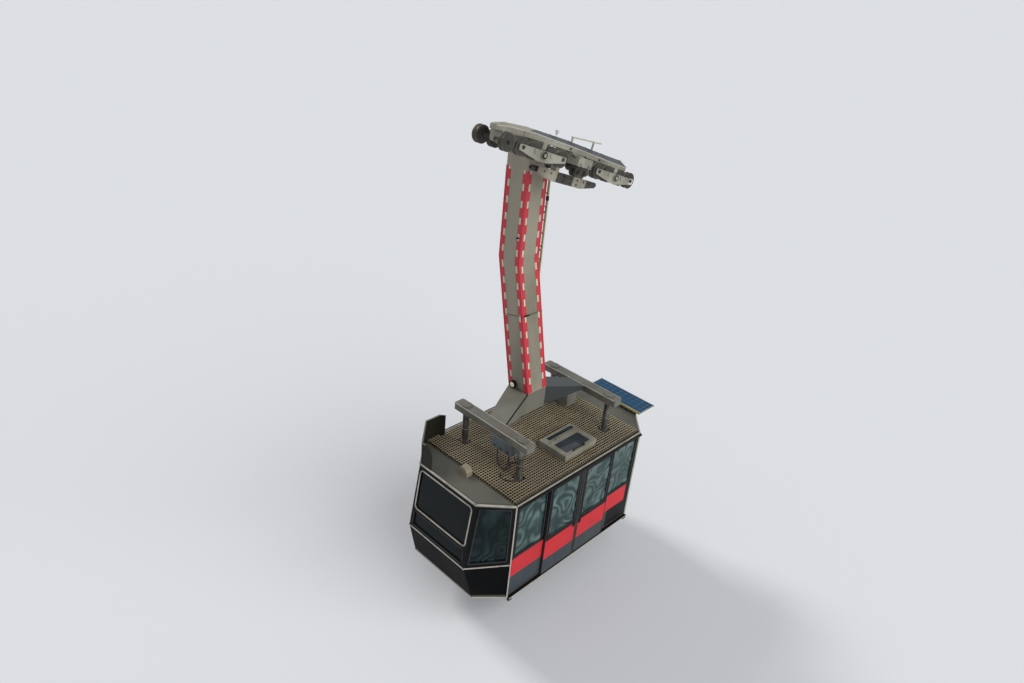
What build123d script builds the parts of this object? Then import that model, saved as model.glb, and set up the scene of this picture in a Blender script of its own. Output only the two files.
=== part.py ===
from build123d import *
import math
import os

# Cable car: an eighty-passenger cabin, its bent hanger and its running carriage.
# Millimetres. X runs along the line, downhill to +X, and Z is up. The origin is midway between
# the two track ropes, at the height of their centres, right below the hanger pin.

os.makedirs("parts", exist_ok=True)

# Ropes and line
ROPE_GAUGE = 600
ROPE_D = 50
INCLINE = 17.5

# Cabin shell: depth below the roof edge, reach beyond the side wall, half width of the end face
ROOF_DROP = 5910
CABIN_Y = -50
SIDE_HALF = 2000
HALF_WIDTH = 1380
ROOF_LEVEL = {"depth": 0, "reach": 573, "half": 831}
BELT_LEVEL = {"depth": 1503, "reach": 791, "half": 846}
SILL_LEVEL = {"depth": 2400, "reach": 548, "half": 907}
WALL = 60
ROOF_THICK = 60
FLOOR_THICK = 80

# Side wall, measured along X from the cabin's centre and down from the roof edge
WINDOW_TOP = 110
WINDOW_BOTTOM = 1340
WINDOW_CORNER = 60
FIXED_WINDOW_INNER = 1090
FIXED_WINDOW_MARGIN = 100
DOORWAY_HALF = 940
DOORWAY_TOP = 130

# Door leaves and their rails
LEAF_WIDTH = 1035
LEAF_THICK = 42
LEAF_GAP = 8
LEAF_TOP = 66
LEAF_CLEAR = 6
DOOR_WINDOW_INNER = 120
DOOR_WINDOW_OUTER = 950
RAIL_HEIGHT = 44
RAIL_REACH = 62
TONGUE = 12
TONGUE_UP = 26
TONGUE_CLEAR = 1

# Glass
GLASS = 8
GLASS_INSET = 26
GLASS_GAP = 0.3

# Windscreen and corner windows, down the slope of the upper end
SCREEN_HALF = 755
SCREEN_TOP = 134
SCREEN_BOTTOM = 1030
SCREEN_CORNER = 75
LOWER_PANE_TOP = 1130
LOWER_PANE_BOTTOM = 1440
LOWER_PANE_CORNER = 40
CORNER_PANE_MARGIN = 90
CUT_REACH = 160

# Roof
GRATING_EDGE_X = 15
GRATING_EDGE_Y = 50
GRATING_PITCH = 64
GRATING_BAR = 22
GRATING_DEPTH = 12
GRATING_CLEAR = 25
GRATING_BATTENS = 5
BATTEN_WIDTH = 40
HATCH_X = (-250, 760)
HATCH_Y = (-1070, -330)
HATCH_CURB = 70
HATCH_HEIGHT = 150
HATCH_LID = 40
LID_LAP = 10
LID_CORNER = 15
HATCH_CLEAR = 20
GUARD_HEIGHT = 500
GUARD_THICK = 25
GUARD_INSET = 20
GUARD_START = 460
GUARD_BEND = 80
GUARD_RETURN = 300
GUARD_ROUND = 220
CABINET_SIZE = (340, 320, 460)
CABINET_CORNER = 20
CABINET_PAST_BEAM = 180
CABINET_Y = 480
PANEL_WIDTH = 1570
PANEL_LENGTH = 560
PANEL_THICK = 30
PANEL_RAISE = 80
PANEL_FOOT = (60, 50)
PANEL_OVERHANG = 490
PANEL_Y = -200
VENT_SIZE = (150, 260, 190)
VENT_PAST_GRATING = 35

# Suspension between the cabin roof and the hanger
BEAM_X = 1380
BEAM_WIDTH = 250
BEAM_HEIGHT = 150
BEAM_HALF = 1060
BEAM_TOP = 934
BEAM_CORNER = 30
POST_Y = 805
POST_D = 140
POST_FLANGE = 15
POST_FLANGE_THICK = 20
CAP_D = 215
CAP_HEIGHT = 25
AIR_BOX = (260, 540, 300)
AIR_BOX_Y = -370
AIR_BOX_ROUND = 30

# Hanger column: a square box that leans out, then stands upright beside the ropes
COLUMN = 565
COLUMN_BASE = (-5210, 255)
COLUMN_BEND = (-2030, 965)
COLUMN_JOINT_SHARE = 0.64
COLUMN_TOP = -150
FOOT_LOW = 650
FOOT_TOP = 1120
FOOT_END_HALF = 235
FOOT_END_DEPTH = 60
FOOT_END_SHIFT = 20
FOOT_LAMP_R = 75
FOOT_LAMP_UP = 80
LADDER_OUT = 175
LADDER_HALF = 200
LADDER_SPAN = (-3100, -250)
LADDER_STILE = (25, 50)
LADDER_BRACKETS = (-1900, -1100, -350)
LADDER_BRACKET = 30
RUNG_PITCH = 280
RUNG_R = 14
PIN_UP = 215
PIN_D = 120
PIN_CLEAR = 0.06
PIN_SHORT = 40
HOUSING_HALF = 205
HOUSING_LOW = 125
HOUSING_TOP = 288
HOUSING_REACH = 420
HOUSING_FACE = 12

# Carriage, in its own sloped frame: "along" the ropes and "up" from their centres
PIVOTS = {"uphill": -1205, "downhill": 1030}
PIVOT_UP = 125
PIVOT_D = 70
PIVOT_HEAD_R = 62
PIVOT_HEAD = 40
AXLE_OUTER = 545
AXLE_INNER = 215
END_AXLE = -2095
TREAD_R = 125
FLANGE_R = 155
WHEEL_WIDTH = 100
GROOVE_LIP = 32
AXLE_D = 50
AXLE_CLEAR = 0.06
AXLE_END = 12
SEAT_GAP = 0.3
ROCKER_HALF = 630
ROCKER_PLATE = 14
ROCKER_SIDE_GAP = 12
ROCKER_TOP = 195
ROCKER_END_LOW = 95
ROCKER_LOW = 5
ROCKER_LOW_HALF = 120
ROCKER_CHAMFER = 20
BRACKET_HALF = 50
BRACKET_REACH = 350
BRACKET_OVER = 20
LUG_THICK = 60
TIE_LOW = 35
TIE_HIGH = 65
GIRDER_HALF = 200
COVER_LIP = 12
END_PLATE = 20
NOSE_HALF = 35
NOSE_LENGTH = 550

# Side of the girder: along, underside, top, and the ridge of its cover
GIRDER_LINE = (
    (-2180, 280, 350, 362),
    (-1950, 296, 388, 440),
    (-1400, 325, 418, 484),
    (-300, 327, 408, 497),
    (1000, 294, 372, 473),
    (1545, 290, 360, 470),
)

# Rope brakes and the clamp of the haul rope
JAW_GAP = 35
JAW_THICK = 40
JAW_LENGTH = 300
JAW_HALF = 70
JAW_TAPER = 50
SPRING_R = 45
SPRING_STEP = 75
SPRING_OUT = 70
CLAMP_TOP = -80
CLAMP_LOW = -265
CLAMP_END_LOW = -180
CLAMP_HALF = 890
CLAMP_BELLY = 440
CLAMP_THICK = 180
CLAMP_ARM = 330
ARM_WIDTH = 90
ARM_THICK = 140
SOCKET_UP = -130
SOCKET_R = 18
SOCKET_BASE_R = 48
SOCKET_LENGTH = 110
SOCKET_TAPER = 6

roof_z = -ROOF_DROP
sill_z = roof_z - SILL_LEVEL["depth"]
wall_top = roof_z - ROOF_THICK
wall_bottom = sill_z + FLOOR_THICK
axle_up = TREAD_R + ROPE_D / 2
slope_cos = math.cos(math.radians(INCLINE))
slope_sin = math.sin(math.radians(INCLINE))


def carriage_point(along, up, y=0):
    """A point given along and square to the sloping ropes."""
    x = along * slope_cos + up * slope_sin
    z = up * slope_cos - along * slope_sin
    return (x, y, z)


def carriage_side(y):
    """Upright plane beside the ropes: local x runs downhill and an extrusion runs towards -Y."""
    return Plane(origin=(0, y, 0), x_dir=(slope_cos, 0, -slope_sin), z_dir=(0, -1, 0))


def side_plane(y):
    """Upright plane along the cabin: local x is X, local y is Z."""
    return Plane(origin=(0, y, 0), x_dir=(1, 0, 0), z_dir=(0, -1, 0))


def save(builder, name):
    builder.part.label = name
    export_step(builder.part, f"parts/{name}.step")


def level_at(depth):
    """Reach and half width of the end at a depth below the roof edge."""
    if depth <= BELT_LEVEL["depth"]:
        above, below = ROOF_LEVEL, BELT_LEVEL
    else:
        above, below = BELT_LEVEL, SILL_LEVEL
    share = (depth - above["depth"]) / (below["depth"] - above["depth"])
    reach = above["reach"] + share * (below["reach"] - above["reach"])
    half = above["half"] + share * (below["half"] - above["half"])
    return reach, half


def end_points(depth, end, inset):
    """Four corners of one end in plan, from the +Y side wall round to the other."""
    reach, half = level_at(depth)
    run = reach
    fall = HALF_WIDTH - half
    slant = math.hypot(run, fall)
    y_side = HALF_WIDTH - inset * slant / run
    x_end = SIDE_HALF + reach - inset
    y_end = y_side - (reach - inset) * fall / run
    corners = [(SIDE_HALF, y_side), (x_end, y_end), (x_end, -y_end), (SIDE_HALF, -y_side)]
    return [(end * x, y + CABIN_Y) for x, y in corners]


def end_band(depths, end, outer, inner):
    """Solid band round one end between two depths and two insets from the skin."""
    with BuildPart() as band:
        for depth in depths:
            with BuildSketch(Plane.XY.offset(roof_z - depth)):
                with BuildLine():
                    rim = end_points(depth, end, outer) + end_points(depth, end, inner)[::-1]
                    Polyline(rim, close=True)
                make_face()
        loft(ruled=True)
    return band.part


def plan_outline(depth):
    """The whole cabin in plan at one depth, as an eight-sided outline."""
    return end_points(depth, 1, 0) + end_points(depth, -1, 0)[::-1]


def end_slope_plane(end):
    """Plane of the windscreen: origin at the roof edge, local x across, local y up the slope."""
    lean = BELT_LEVEL["reach"] - ROOF_LEVEL["reach"]
    rise = BELT_LEVEL["depth"]
    return Plane(
        origin=(end * (SIDE_HALF + ROOF_LEVEL["reach"]), CABIN_Y, roof_z),
        x_dir=(0, end, 0),
        z_dir=(end * rise, 0, lean),
    )


def corner_plane(end, side):
    """Upright plane through a chamfered corner: local x runs from the side wall to the end face."""
    reach, half = level_at(BELT_LEVEL["depth"] / 2)
    run = (end * reach, side * (half - HALF_WIDTH), 0)
    normal = (end * (HALF_WIDTH - half), side * reach, 0)
    plane = Plane(origin=(end * SIDE_HALF, side * HALF_WIDTH + CABIN_Y, roof_z), x_dir=run, z_dir=normal)
    return plane


def screen_cutters(end, shrink):
    """Prisms through the end face where the windscreen and the pane below it sit."""
    with BuildPart() as cutters:
        with BuildSketch(end_slope_plane(end)):
            for top, bottom, corner in (
                (SCREEN_TOP, SCREEN_BOTTOM, SCREEN_CORNER),
                (LOWER_PANE_TOP, LOWER_PANE_BOTTOM, LOWER_PANE_CORNER),
            ):
                with Locations((0, -(top + bottom) / 2)):
                    width = 2 * (SCREEN_HALF - shrink)
                    RectangleRounded(width, bottom - top - 2 * shrink, corner - shrink)
        extrude(amount=CUT_REACH, both=True)
    return cutters.part


def corner_cutter(end, side, shrink):
    """Prism through one chamfered corner where its window sits."""
    top_run = math.hypot(ROOF_LEVEL["reach"], HALF_WIDTH - ROOF_LEVEL["half"])
    low_run = math.hypot(BELT_LEVEL["reach"], HALF_WIDTH - BELT_LEVEL["half"])
    plane = corner_plane(end, side)
    up = 1 if plane.y_dir.Z > 0 else -1
    near = CORNER_PANE_MARGIN + shrink
    top = up * -(WINDOW_TOP + shrink)
    low = up * -(BELT_LEVEL["depth"] - WINDOW_TOP - shrink)
    with BuildPart() as cutter:
        with BuildSketch(plane):
            with BuildLine():
                Polyline(
                    (near, top),
                    (top_run - near, top),
                    (low_run - near, low),
                    (near, low),
                    close=True,
                )
            make_face()
        extrude(amount=CUT_REACH, both=True)
    return cutter.part


ENDS = {"uphill": -1, "downhill": 1}
SIDES = {"right": -1, "left": 1}

# Cabin ends: an upper band with its windows cut and a lower apron
glass_depths = (ROOF_THICK, BELT_LEVEL["depth"])
for end_name, end in ENDS.items():
    with BuildPart() as end_upper:
        add(end_band(glass_depths, end, 0, WALL))
        add(screen_cutters(end, 0), mode=Mode.SUBTRACT)
        for side in SIDES.values():
            add(corner_cutter(end, side, 0), mode=Mode.SUBTRACT)
    save(end_upper, f"end_upper_{end_name}")

    with BuildPart() as end_lower:
        add(end_band((BELT_LEVEL["depth"], SILL_LEVEL["depth"] - FLOOR_THICK), end, 0, WALL))
    save(end_lower, f"end_lower_{end_name}")

    with BuildPart() as end_glass:
        add(end_band(glass_depths, end, GLASS_INSET, GLASS_INSET + GLASS))
        add(screen_cutters(end, GLASS_GAP), mode=Mode.INTERSECT)
    save(end_glass, f"end_glass_{end_name}")

    with BuildPart() as corner_glass:
        for side in SIDES.values():
            pane = end_band(glass_depths, end, GLASS_INSET, GLASS_INSET + GLASS)
            add(pane & corner_cutter(end, side, GLASS_GAP))
    save(corner_glass, f"corner_glass_{end_name}")

# Side walls with a doorway and two fixed windows each
wall_mid = (wall_top + wall_bottom) / 2
window_mid = roof_z - (WINDOW_TOP + WINDOW_BOTTOM) / 2
window_outer = SIDE_HALF - FIXED_WINDOW_MARGIN
window_width = window_outer - FIXED_WINDOW_INNER
fixed_spots = [(end * (FIXED_WINDOW_INNER + window_outer) / 2, window_mid) for end in ENDS.values()]
for side_name, side in SIDES.items():
    outer_y = CABIN_Y + side * HALF_WIDTH
    mid_y = outer_y - side * WALL / 2
    with BuildPart() as side_wall:
        with BuildSketch(side_plane(mid_y)):
            with Locations((0, wall_mid)):
                Rectangle(2 * SIDE_HALF, wall_top - wall_bottom)
            with Locations((0, (wall_bottom + roof_z - DOORWAY_TOP) / 2)):
                Rectangle(2 * DOORWAY_HALF, roof_z - DOORWAY_TOP - wall_bottom, mode=Mode.SUBTRACT)
            with Locations(fixed_spots):
                RectangleRounded(
                    window_width, WINDOW_BOTTOM - WINDOW_TOP, WINDOW_CORNER, mode=Mode.SUBTRACT
                )
        extrude(amount=WALL / 2, both=True)
    save(side_wall, f"side_wall_{side_name}")

    with BuildPart() as side_glass:
        with BuildSketch(side_plane(outer_y - side * (GLASS_INSET + GLASS / 2))):
            with Locations(fixed_spots):
                RectangleRounded(
                    window_width - 2 * GLASS_GAP,
                    WINDOW_BOTTOM - WINDOW_TOP - 2 * GLASS_GAP,
                    WINDOW_CORNER - GLASS_GAP,
                )
        extrude(amount=GLASS / 2, both=True)
    save(side_glass, f"side_glass_{side_name}")

    # Sliding leaves run outside the wall, between a head rail and a sill rail
    leaf_y = outer_y + side * (LEAF_GAP + LEAF_THICK / 2)
    leaf_bottom = wall_bottom + RAIL_HEIGHT - FLOOR_THICK + LEAF_CLEAR
    leaf_top = roof_z - LEAF_TOP
    for end_name, end in ENDS.items():
        leaf_mid_x = end * (LEAF_CLEAR / 2 + LEAF_WIDTH / 2)
        pane_x = end * (DOOR_WINDOW_INNER + DOOR_WINDOW_OUTER) / 2
        pane_width = DOOR_WINDOW_OUTER - DOOR_WINDOW_INNER
        with BuildPart() as leaf:
            with BuildSketch(side_plane(leaf_y)):
                with Locations((leaf_mid_x, (leaf_top + leaf_bottom) / 2)):
                    Rectangle(LEAF_WIDTH, leaf_top - leaf_bottom + 2 * (LEAF_CLEAR + TONGUE_UP))
            extrude(amount=TONGUE / 2, both=True)
            with BuildSketch(side_plane(leaf_y)):
                with Locations((leaf_mid_x, (leaf_top + leaf_bottom) / 2)):
                    Rectangle(LEAF_WIDTH, leaf_top - leaf_bottom)
            extrude(amount=LEAF_THICK / 2, both=True)
            with BuildSketch(side_plane(leaf_y)):
                with Locations((pane_x, window_mid)):
                    RectangleRounded(pane_width, WINDOW_BOTTOM - WINDOW_TOP, WINDOW_CORNER)
            extrude(amount=LEAF_THICK, both=True, mode=Mode.SUBTRACT)
        save(leaf, f"door_leaf_{side_name}_{end_name}")

        with BuildPart() as door_glass:
            with BuildSketch(side_plane(leaf_y)):
                with Locations((pane_x, window_mid)):
                    RectangleRounded(
                        pane_width - 2 * GLASS_GAP,
                        WINDOW_BOTTOM - WINDOW_TOP - 2 * GLASS_GAP,
                        WINDOW_CORNER - GLASS_GAP,
                    )
            extrude(amount=GLASS / 2, both=True)
        save(door_glass, f"door_glass_{side_name}_{end_name}")

    with BuildPart() as door_rails:
        rail_y = outer_y + side * RAIL_REACH / 2
        head_z = leaf_top + LEAF_CLEAR + RAIL_HEIGHT / 2
        sill_rail_z = leaf_bottom - LEAF_CLEAR - RAIL_HEIGHT / 2
        with BuildSketch(Plane.YZ):
            for rail_z, open_end in ((head_z, -1), (sill_rail_z, 1)):
                with Locations((rail_y, rail_z)):
                    Rectangle(RAIL_REACH, RAIL_HEIGHT)
                groove = TONGUE_UP + SEAT_GAP
                with Locations((leaf_y, rail_z + open_end * (RAIL_HEIGHT - groove) / 2)):
                    Rectangle(TONGUE + 2 * TONGUE_CLEAR, groove, mode=Mode.SUBTRACT)
        extrude(amount=SIDE_HALF, both=True)
    save(door_rails, f"door_rails_{side_name}")

# Roof, with the opening of its hatch
hatch_size = (HATCH_X[1] - HATCH_X[0], HATCH_Y[1] - HATCH_Y[0])
hatch_mid = ((HATCH_X[0] + HATCH_X[1]) / 2, CABIN_Y + (HATCH_Y[0] + HATCH_Y[1]) / 2)
with BuildPart() as roof:
    with BuildSketch(Plane.XY.offset(wall_top)):
        with BuildLine():
            Polyline(plan_outline(0), close=True)
        make_face()
        with Locations(hatch_mid):
            Rectangle(hatch_size[0] - 2 * HATCH_CURB, hatch_size[1] - 2 * HATCH_CURB, mode=Mode.SUBTRACT)
    extrude(amount=ROOF_THICK)
save(roof, "roof")

FOOT_HEIGHT = 70
FOOT_X = 1880
FOOT_Y = 1250
FOOT_PAD = (160, 90)
with BuildPart() as floor:
    with BuildSketch(Plane.XY.offset(sill_z)):
        with BuildLine():
            Polyline(plan_outline(SILL_LEVEL["depth"]), close=True)
        make_face()
    extrude(amount=FLOOR_THICK)
    with Locations((0, CABIN_Y, sill_z - FOOT_HEIGHT / 2)):
        with GridLocations(2 * FOOT_X, 2 * FOOT_Y, 2, 2):
            Box(FOOT_PAD[0], FOOT_PAD[1], FOOT_HEIGHT)
save(floor, "floor")

# Walkway grating: bearing bars along X lie on cross bars, and those on battens
post_spots = [(sx * BEAM_X, CABIN_Y + sy * POST_Y) for sx in (-1, 1) for sy in (-1, 1)]
cross_z = roof_z + GRATING_CLEAR + SEAT_GAP
bearing_z = cross_z + GRATING_DEPTH + SEAT_GAP
grating_top = bearing_z + GRATING_DEPTH
grating_half_x = SIDE_HALF - GRATING_EDGE_X
grating_half_y = HALF_WIDTH - GRATING_EDGE_Y
bearing_count = int(2 * grating_half_y / GRATING_PITCH)
cross_count = int(2 * grating_half_x / GRATING_PITCH)
batten_step = 2 * (grating_half_y - BATTEN_WIDTH) / (GRATING_BATTENS - 1)
with BuildPart() as grating:
    with BuildSketch(Plane.XY.offset(roof_z)):
        with Locations((0, CABIN_Y)):
            with GridLocations(0, batten_step, 1, GRATING_BATTENS):
                Rectangle(2 * grating_half_x, BATTEN_WIDTH)
    extrude(amount=GRATING_CLEAR)
    with BuildSketch(Plane.XY.offset(cross_z)):
        with Locations((0, CABIN_Y)):
            with GridLocations(GRATING_PITCH, 0, cross_count, 1):
                Rectangle(GRATING_BAR, 2 * grating_half_y)
    extrude(amount=GRATING_DEPTH)
    with BuildSketch(Plane.XY.offset(bearing_z)):
        with Locations((0, CABIN_Y)):
            with GridLocations(0, GRATING_PITCH, 1, bearing_count):
                Rectangle(2 * grating_half_x, GRATING_BAR)
    extrude(amount=GRATING_DEPTH)
    with BuildSketch(Plane.XY.offset(roof_z)):
        with Locations(post_spots):
            Rectangle(POST_D + 2 * (POST_FLANGE + HATCH_CLEAR), POST_D + 2 * (POST_FLANGE + HATCH_CLEAR))
        with Locations(hatch_mid):
            Rectangle(hatch_size[0] + 2 * HATCH_CLEAR, hatch_size[1] + 2 * HATCH_CLEAR)
        with Locations((GUARD_START + GUARD_BEND / 2 - SIDE_HALF - GUARD_BEND, CABIN_Y + grating_half_y)):
            Rectangle(2 * GUARD_BEND, 2 * GUARD_BEND)
    extrude(amount=grating_top - roof_z, mode=Mode.SUBTRACT)
save(grating, "roof_grating")

# Roof hatch: curb, and a lid with a wide pane and a narrow one
with BuildPart() as curb:
    with BuildSketch(Plane.XY.offset(roof_z)):
        with Locations(hatch_mid):
            Rectangle(*hatch_size)
            Rectangle(hatch_size[0] - 2 * HATCH_CURB, hatch_size[1] - 2 * HATCH_CURB, mode=Mode.SUBTRACT)
    extrude(amount=HATCH_HEIGHT)
save(curb, "hatch_curb")

# Panes of the lid: low X, high X, low Y and high Y as insets from the hatch's edges, and corner
LID_PANES = (
    (110, 130, 75, 300, 30),
    (150, 40, 600, 35, 15),
)
lid_z = roof_z + HATCH_HEIGHT + SEAT_GAP


def lid_pane(low_x, high_x, low_y, high_y, corner, shrink):
    """Outline of one pane of the hatch lid, smaller all round by shrink."""
    width = hatch_size[0] - low_x - high_x
    depth = hatch_size[1] - low_y - high_y
    middle = (hatch_mid[0] + (low_x - high_x) / 2, hatch_mid[1] + (low_y - high_y) / 2)
    with Locations(middle):
        RectangleRounded(width - 2 * shrink, depth - 2 * shrink, corner - shrink)


with BuildPart() as lid:
    with BuildSketch(Plane.XY.offset(lid_z)):
        with Locations(hatch_mid):
            RectangleRounded(hatch_size[0] + 2 * LID_LAP, hatch_size[1] + 2 * LID_LAP, LID_CORNER)
    extrude(amount=HATCH_LID)
    with BuildSketch(Plane.XY.offset(lid_z)):
        for pane in LID_PANES:
            lid_pane(*pane, 0)
    extrude(amount=HATCH_LID, mode=Mode.SUBTRACT)
save(lid, "hatch_lid")

with BuildPart() as lid_glass:
    with BuildSketch(Plane.XY.offset(lid_z + HATCH_LID / 2)):
        for pane in LID_PANES:
            lid_pane(*pane, GLASS_GAP)
    extrude(amount=GLASS)
save(lid_glass, "hatch_glass")

# Roof equipment
with BuildPart() as cabinet:
    cabinet_x = BEAM_X + CABINET_PAST_BEAM
    with Locations((cabinet_x, CABIN_Y + CABINET_Y, grating_top + SEAT_GAP + CABINET_SIZE[2] / 2)):
        Box(*CABINET_SIZE)
    fillet(cabinet.edges().filter_by(Axis.Z), CABINET_CORNER)
save(cabinet, "roof_cabinet")

# Guard plate round the uphill corner, with its free end rounded off
guard_side = HALF_WIDTH - GUARD_INSET
guard_front = SIDE_HALF + ROOF_LEVEL["reach"] - GUARD_INSET
guard_corner = ROOF_LEVEL["half"] - GUARD_INSET
with BuildPart() as guard:
    guard_path = [
        (-(SIDE_HALF - GUARD_START), guard_side - GUARD_BEND),
        (-(SIDE_HALF - GUARD_START + GUARD_BEND), guard_side),
        (-SIDE_HALF, guard_side),
        (-guard_front, guard_corner),
        (-guard_front, guard_corner - GUARD_RETURN),
    ]
    with BuildSketch(Plane.XY.offset(roof_z)):
        with BuildLine():
            Polyline([(x, y + CABIN_Y) for x, y in guard_path])
            offset(amount=GUARD_THICK / 2, side=Side.BOTH)
        make_face()
    extrude(amount=GUARD_HEIGHT)
    free_end = CABIN_Y + guard_corner - GUARD_RETURN - GUARD_THICK / 2
    with BuildSketch(Plane(origin=(-guard_front, free_end, roof_z), x_dir=(0, 1, 0), z_dir=(1, 0, 0))):
        with Locations((GUARD_ROUND / 2, GUARD_HEIGHT - GUARD_ROUND / 2)):
            Rectangle(GUARD_ROUND, GUARD_ROUND)
        with Locations((GUARD_ROUND, GUARD_HEIGHT - GUARD_ROUND)):
            Circle(GUARD_ROUND, mode=Mode.SUBTRACT)
    extrude(amount=GUARD_THICK, both=True, mode=Mode.SUBTRACT)
save(guard, "roof_guard")

with BuildPart() as solar:
    panel_x = SIDE_HALF + PANEL_OVERHANG + PANEL_LENGTH / 2
    with BuildSketch(Plane.XY.offset(roof_z + PANEL_RAISE)):
        with Locations((panel_x, CABIN_Y + PANEL_Y)):
            Rectangle(PANEL_LENGTH, PANEL_WIDTH)
    extrude(amount=PANEL_THICK)
    with BuildSketch(Plane.XY.offset(roof_z)):
        with Locations((panel_x - (PANEL_LENGTH - PANEL_FOOT[0]) / 2, CABIN_Y + PANEL_Y)):
            with GridLocations(0, PANEL_WIDTH / 2, 1, 2):
                Rectangle(*PANEL_FOOT)
    extrude(amount=PANEL_RAISE)
save(solar, "solar_panel")

# Vent at the uphill edge of the grating: an upright hood with a round back
with BuildPart() as vent:
    vent_x = -(grating_half_x + VENT_PAST_GRATING + VENT_SIZE[0] / 2)
    with BuildSketch(Plane(origin=(vent_x, CABIN_Y, roof_z), x_dir=(0, 1, 0), z_dir=(1, 0, 0))):
        with BuildLine():
            Line((-VENT_SIZE[1] / 2, 0), (VENT_SIZE[1] / 2, 0))
            Line((VENT_SIZE[1] / 2, 0), (VENT_SIZE[1] / 2, VENT_SIZE[2] / 2))
            ThreePointArc(
                (VENT_SIZE[1] / 2, VENT_SIZE[2] / 2),
                (0, VENT_SIZE[2]),
                (-VENT_SIZE[1] / 2, VENT_SIZE[2] / 2),
            )
            Line((-VENT_SIZE[1] / 2, VENT_SIZE[2] / 2), (-VENT_SIZE[1] / 2, 0))
        make_face()
    extrude(amount=VENT_SIZE[0] / 2, both=True)
save(vent, "roof_vent")

# Crossbeams on four posts
with BuildPart() as posts:
    with BuildSketch(Plane.XY.offset(roof_z)):
        with Locations(post_spots):
            Circle(POST_D / 2)
    extrude(amount=BEAM_TOP - BEAM_HEIGHT)
    with BuildSketch(Plane.XY.offset(roof_z)):
        with Locations(post_spots):
            Circle(POST_D / 2 + POST_FLANGE)
    extrude(amount=POST_FLANGE_THICK)
save(posts, "damper_posts")

beam_bottom_z = roof_z + BEAM_TOP - BEAM_HEIGHT
with BuildPart() as crossbeams:
    with BuildSketch(Plane.XY.offset(beam_bottom_z)):
        for sx in (-1, 1):
            with Locations((sx * BEAM_X, CABIN_Y)):
                RectangleRounded(BEAM_WIDTH, 2 * BEAM_HALF, BEAM_CORNER)
    extrude(amount=BEAM_HEIGHT)
    with BuildSketch(Plane.XY.offset(beam_bottom_z + BEAM_HEIGHT)):
        with Locations(post_spots):
            Circle(CAP_D / 2)
    extrude(amount=CAP_HEIGHT)
save(crossbeams, "crossbeams")

with BuildPart() as air_box:
    with Locations((-BEAM_X, CABIN_Y + AIR_BOX_Y, beam_bottom_z - AIR_BOX[2] / 2)):
        Box(*AIR_BOX)
    fillet(air_box.edges().filter_by(Axis.Y), AIR_BOX_ROUND)
save(air_box, "beam_equipment_box")


# Hanger
def column_y(z):
    """Centre of the column at a height."""
    if z >= COLUMN_BEND[0]:
        return COLUMN_BEND[1]
    share = (z - COLUMN_BASE[0]) / (COLUMN_BEND[0] - COLUMN_BASE[0])
    return COLUMN_BASE[1] + share * (COLUMN_BEND[1] - COLUMN_BASE[1])


def cross_plane(x):
    """Upright plane across the line: local x is Y, local y is Z."""
    return Plane(origin=(x, 0, 0), x_dir=(0, 1, 0), z_dir=(1, 0, 0))


# Foot: a square core with an arm that widens towards each crossbeam
half = COLUMN / 2
foot_bottom_z = roof_z + FOOT_LOW
foot_top_z = roof_z + FOOT_TOP
foot_mid = (column_y(foot_top_z), (foot_bottom_z + foot_top_z) / 2)
arm_x = BEAM_X - BEAM_WIDTH / 2
with BuildPart() as foot:
    for sx in (-1, 1):
        with BuildSketch(cross_plane(sx * half)):
            with Locations(foot_mid):
                Rectangle(COLUMN, foot_top_z - foot_bottom_z)
        with BuildSketch(cross_plane(sx * arm_x)):
            with Locations((CABIN_Y + FOOT_END_SHIFT, roof_z + BEAM_TOP - FOOT_END_DEPTH / 2)):
                Rectangle(2 * FOOT_END_HALF, FOOT_END_DEPTH)
        loft(ruled=True)
    with BuildSketch(cross_plane(0)):
        with Locations(foot_mid):
            Rectangle(COLUMN, foot_top_z - foot_bottom_z)
    extrude(amount=half, both=True)
save(foot, "hanger_foot")

joint_z = COLUMN_BASE[0] + (COLUMN_BEND[0] - COLUMN_BASE[0]) * COLUMN_JOINT_SHARE
with BuildPart() as lower_column:
    with BuildSketch(Plane.YZ):
        with BuildLine():
            Polyline(
                (column_y(foot_top_z) - half, foot_top_z),
                (column_y(joint_z) - half, joint_z),
                (column_y(joint_z) + half, joint_z),
                (column_y(foot_top_z) + half, foot_top_z),
                close=True,
            )
        make_face()
    extrude(amount=half, both=True)
save(lower_column, "hanger_column_lower")

with BuildPart() as upper_column:
    with BuildSketch(Plane.YZ):
        with BuildLine():
            Polyline(
                (column_y(joint_z) - half, joint_z),
                (COLUMN_BEND[1] - half, COLUMN_BEND[0]),
                (COLUMN_BEND[1] - half, COLUMN_TOP),
                (COLUMN_BEND[1] + half, COLUMN_TOP),
                (COLUMN_BEND[1] + half, COLUMN_BEND[0]),
                (column_y(joint_z) + half, joint_z),
                close=True,
            )
        make_face()
    extrude(amount=half, both=True)
save(upper_column, "hanger_column_upper")

# Lamp at the foot of the column's uphill face
with BuildPart() as foot_lamp:
    lamp_y = column_y(foot_top_z) + half - 2 * FOOT_LAMP_R
    with BuildSketch(cross_plane(-half)):
        with Locations((lamp_y, foot_top_z + FOOT_LAMP_UP)):
            Circle(FOOT_LAMP_R)
    extrude(amount=-FOOT_LAMP_R)
    fillet(foot_lamp.edges().sort_by(Axis.X)[0], FOOT_LAMP_R / 2)
save(foot_lamp, "column_lamp")

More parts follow.
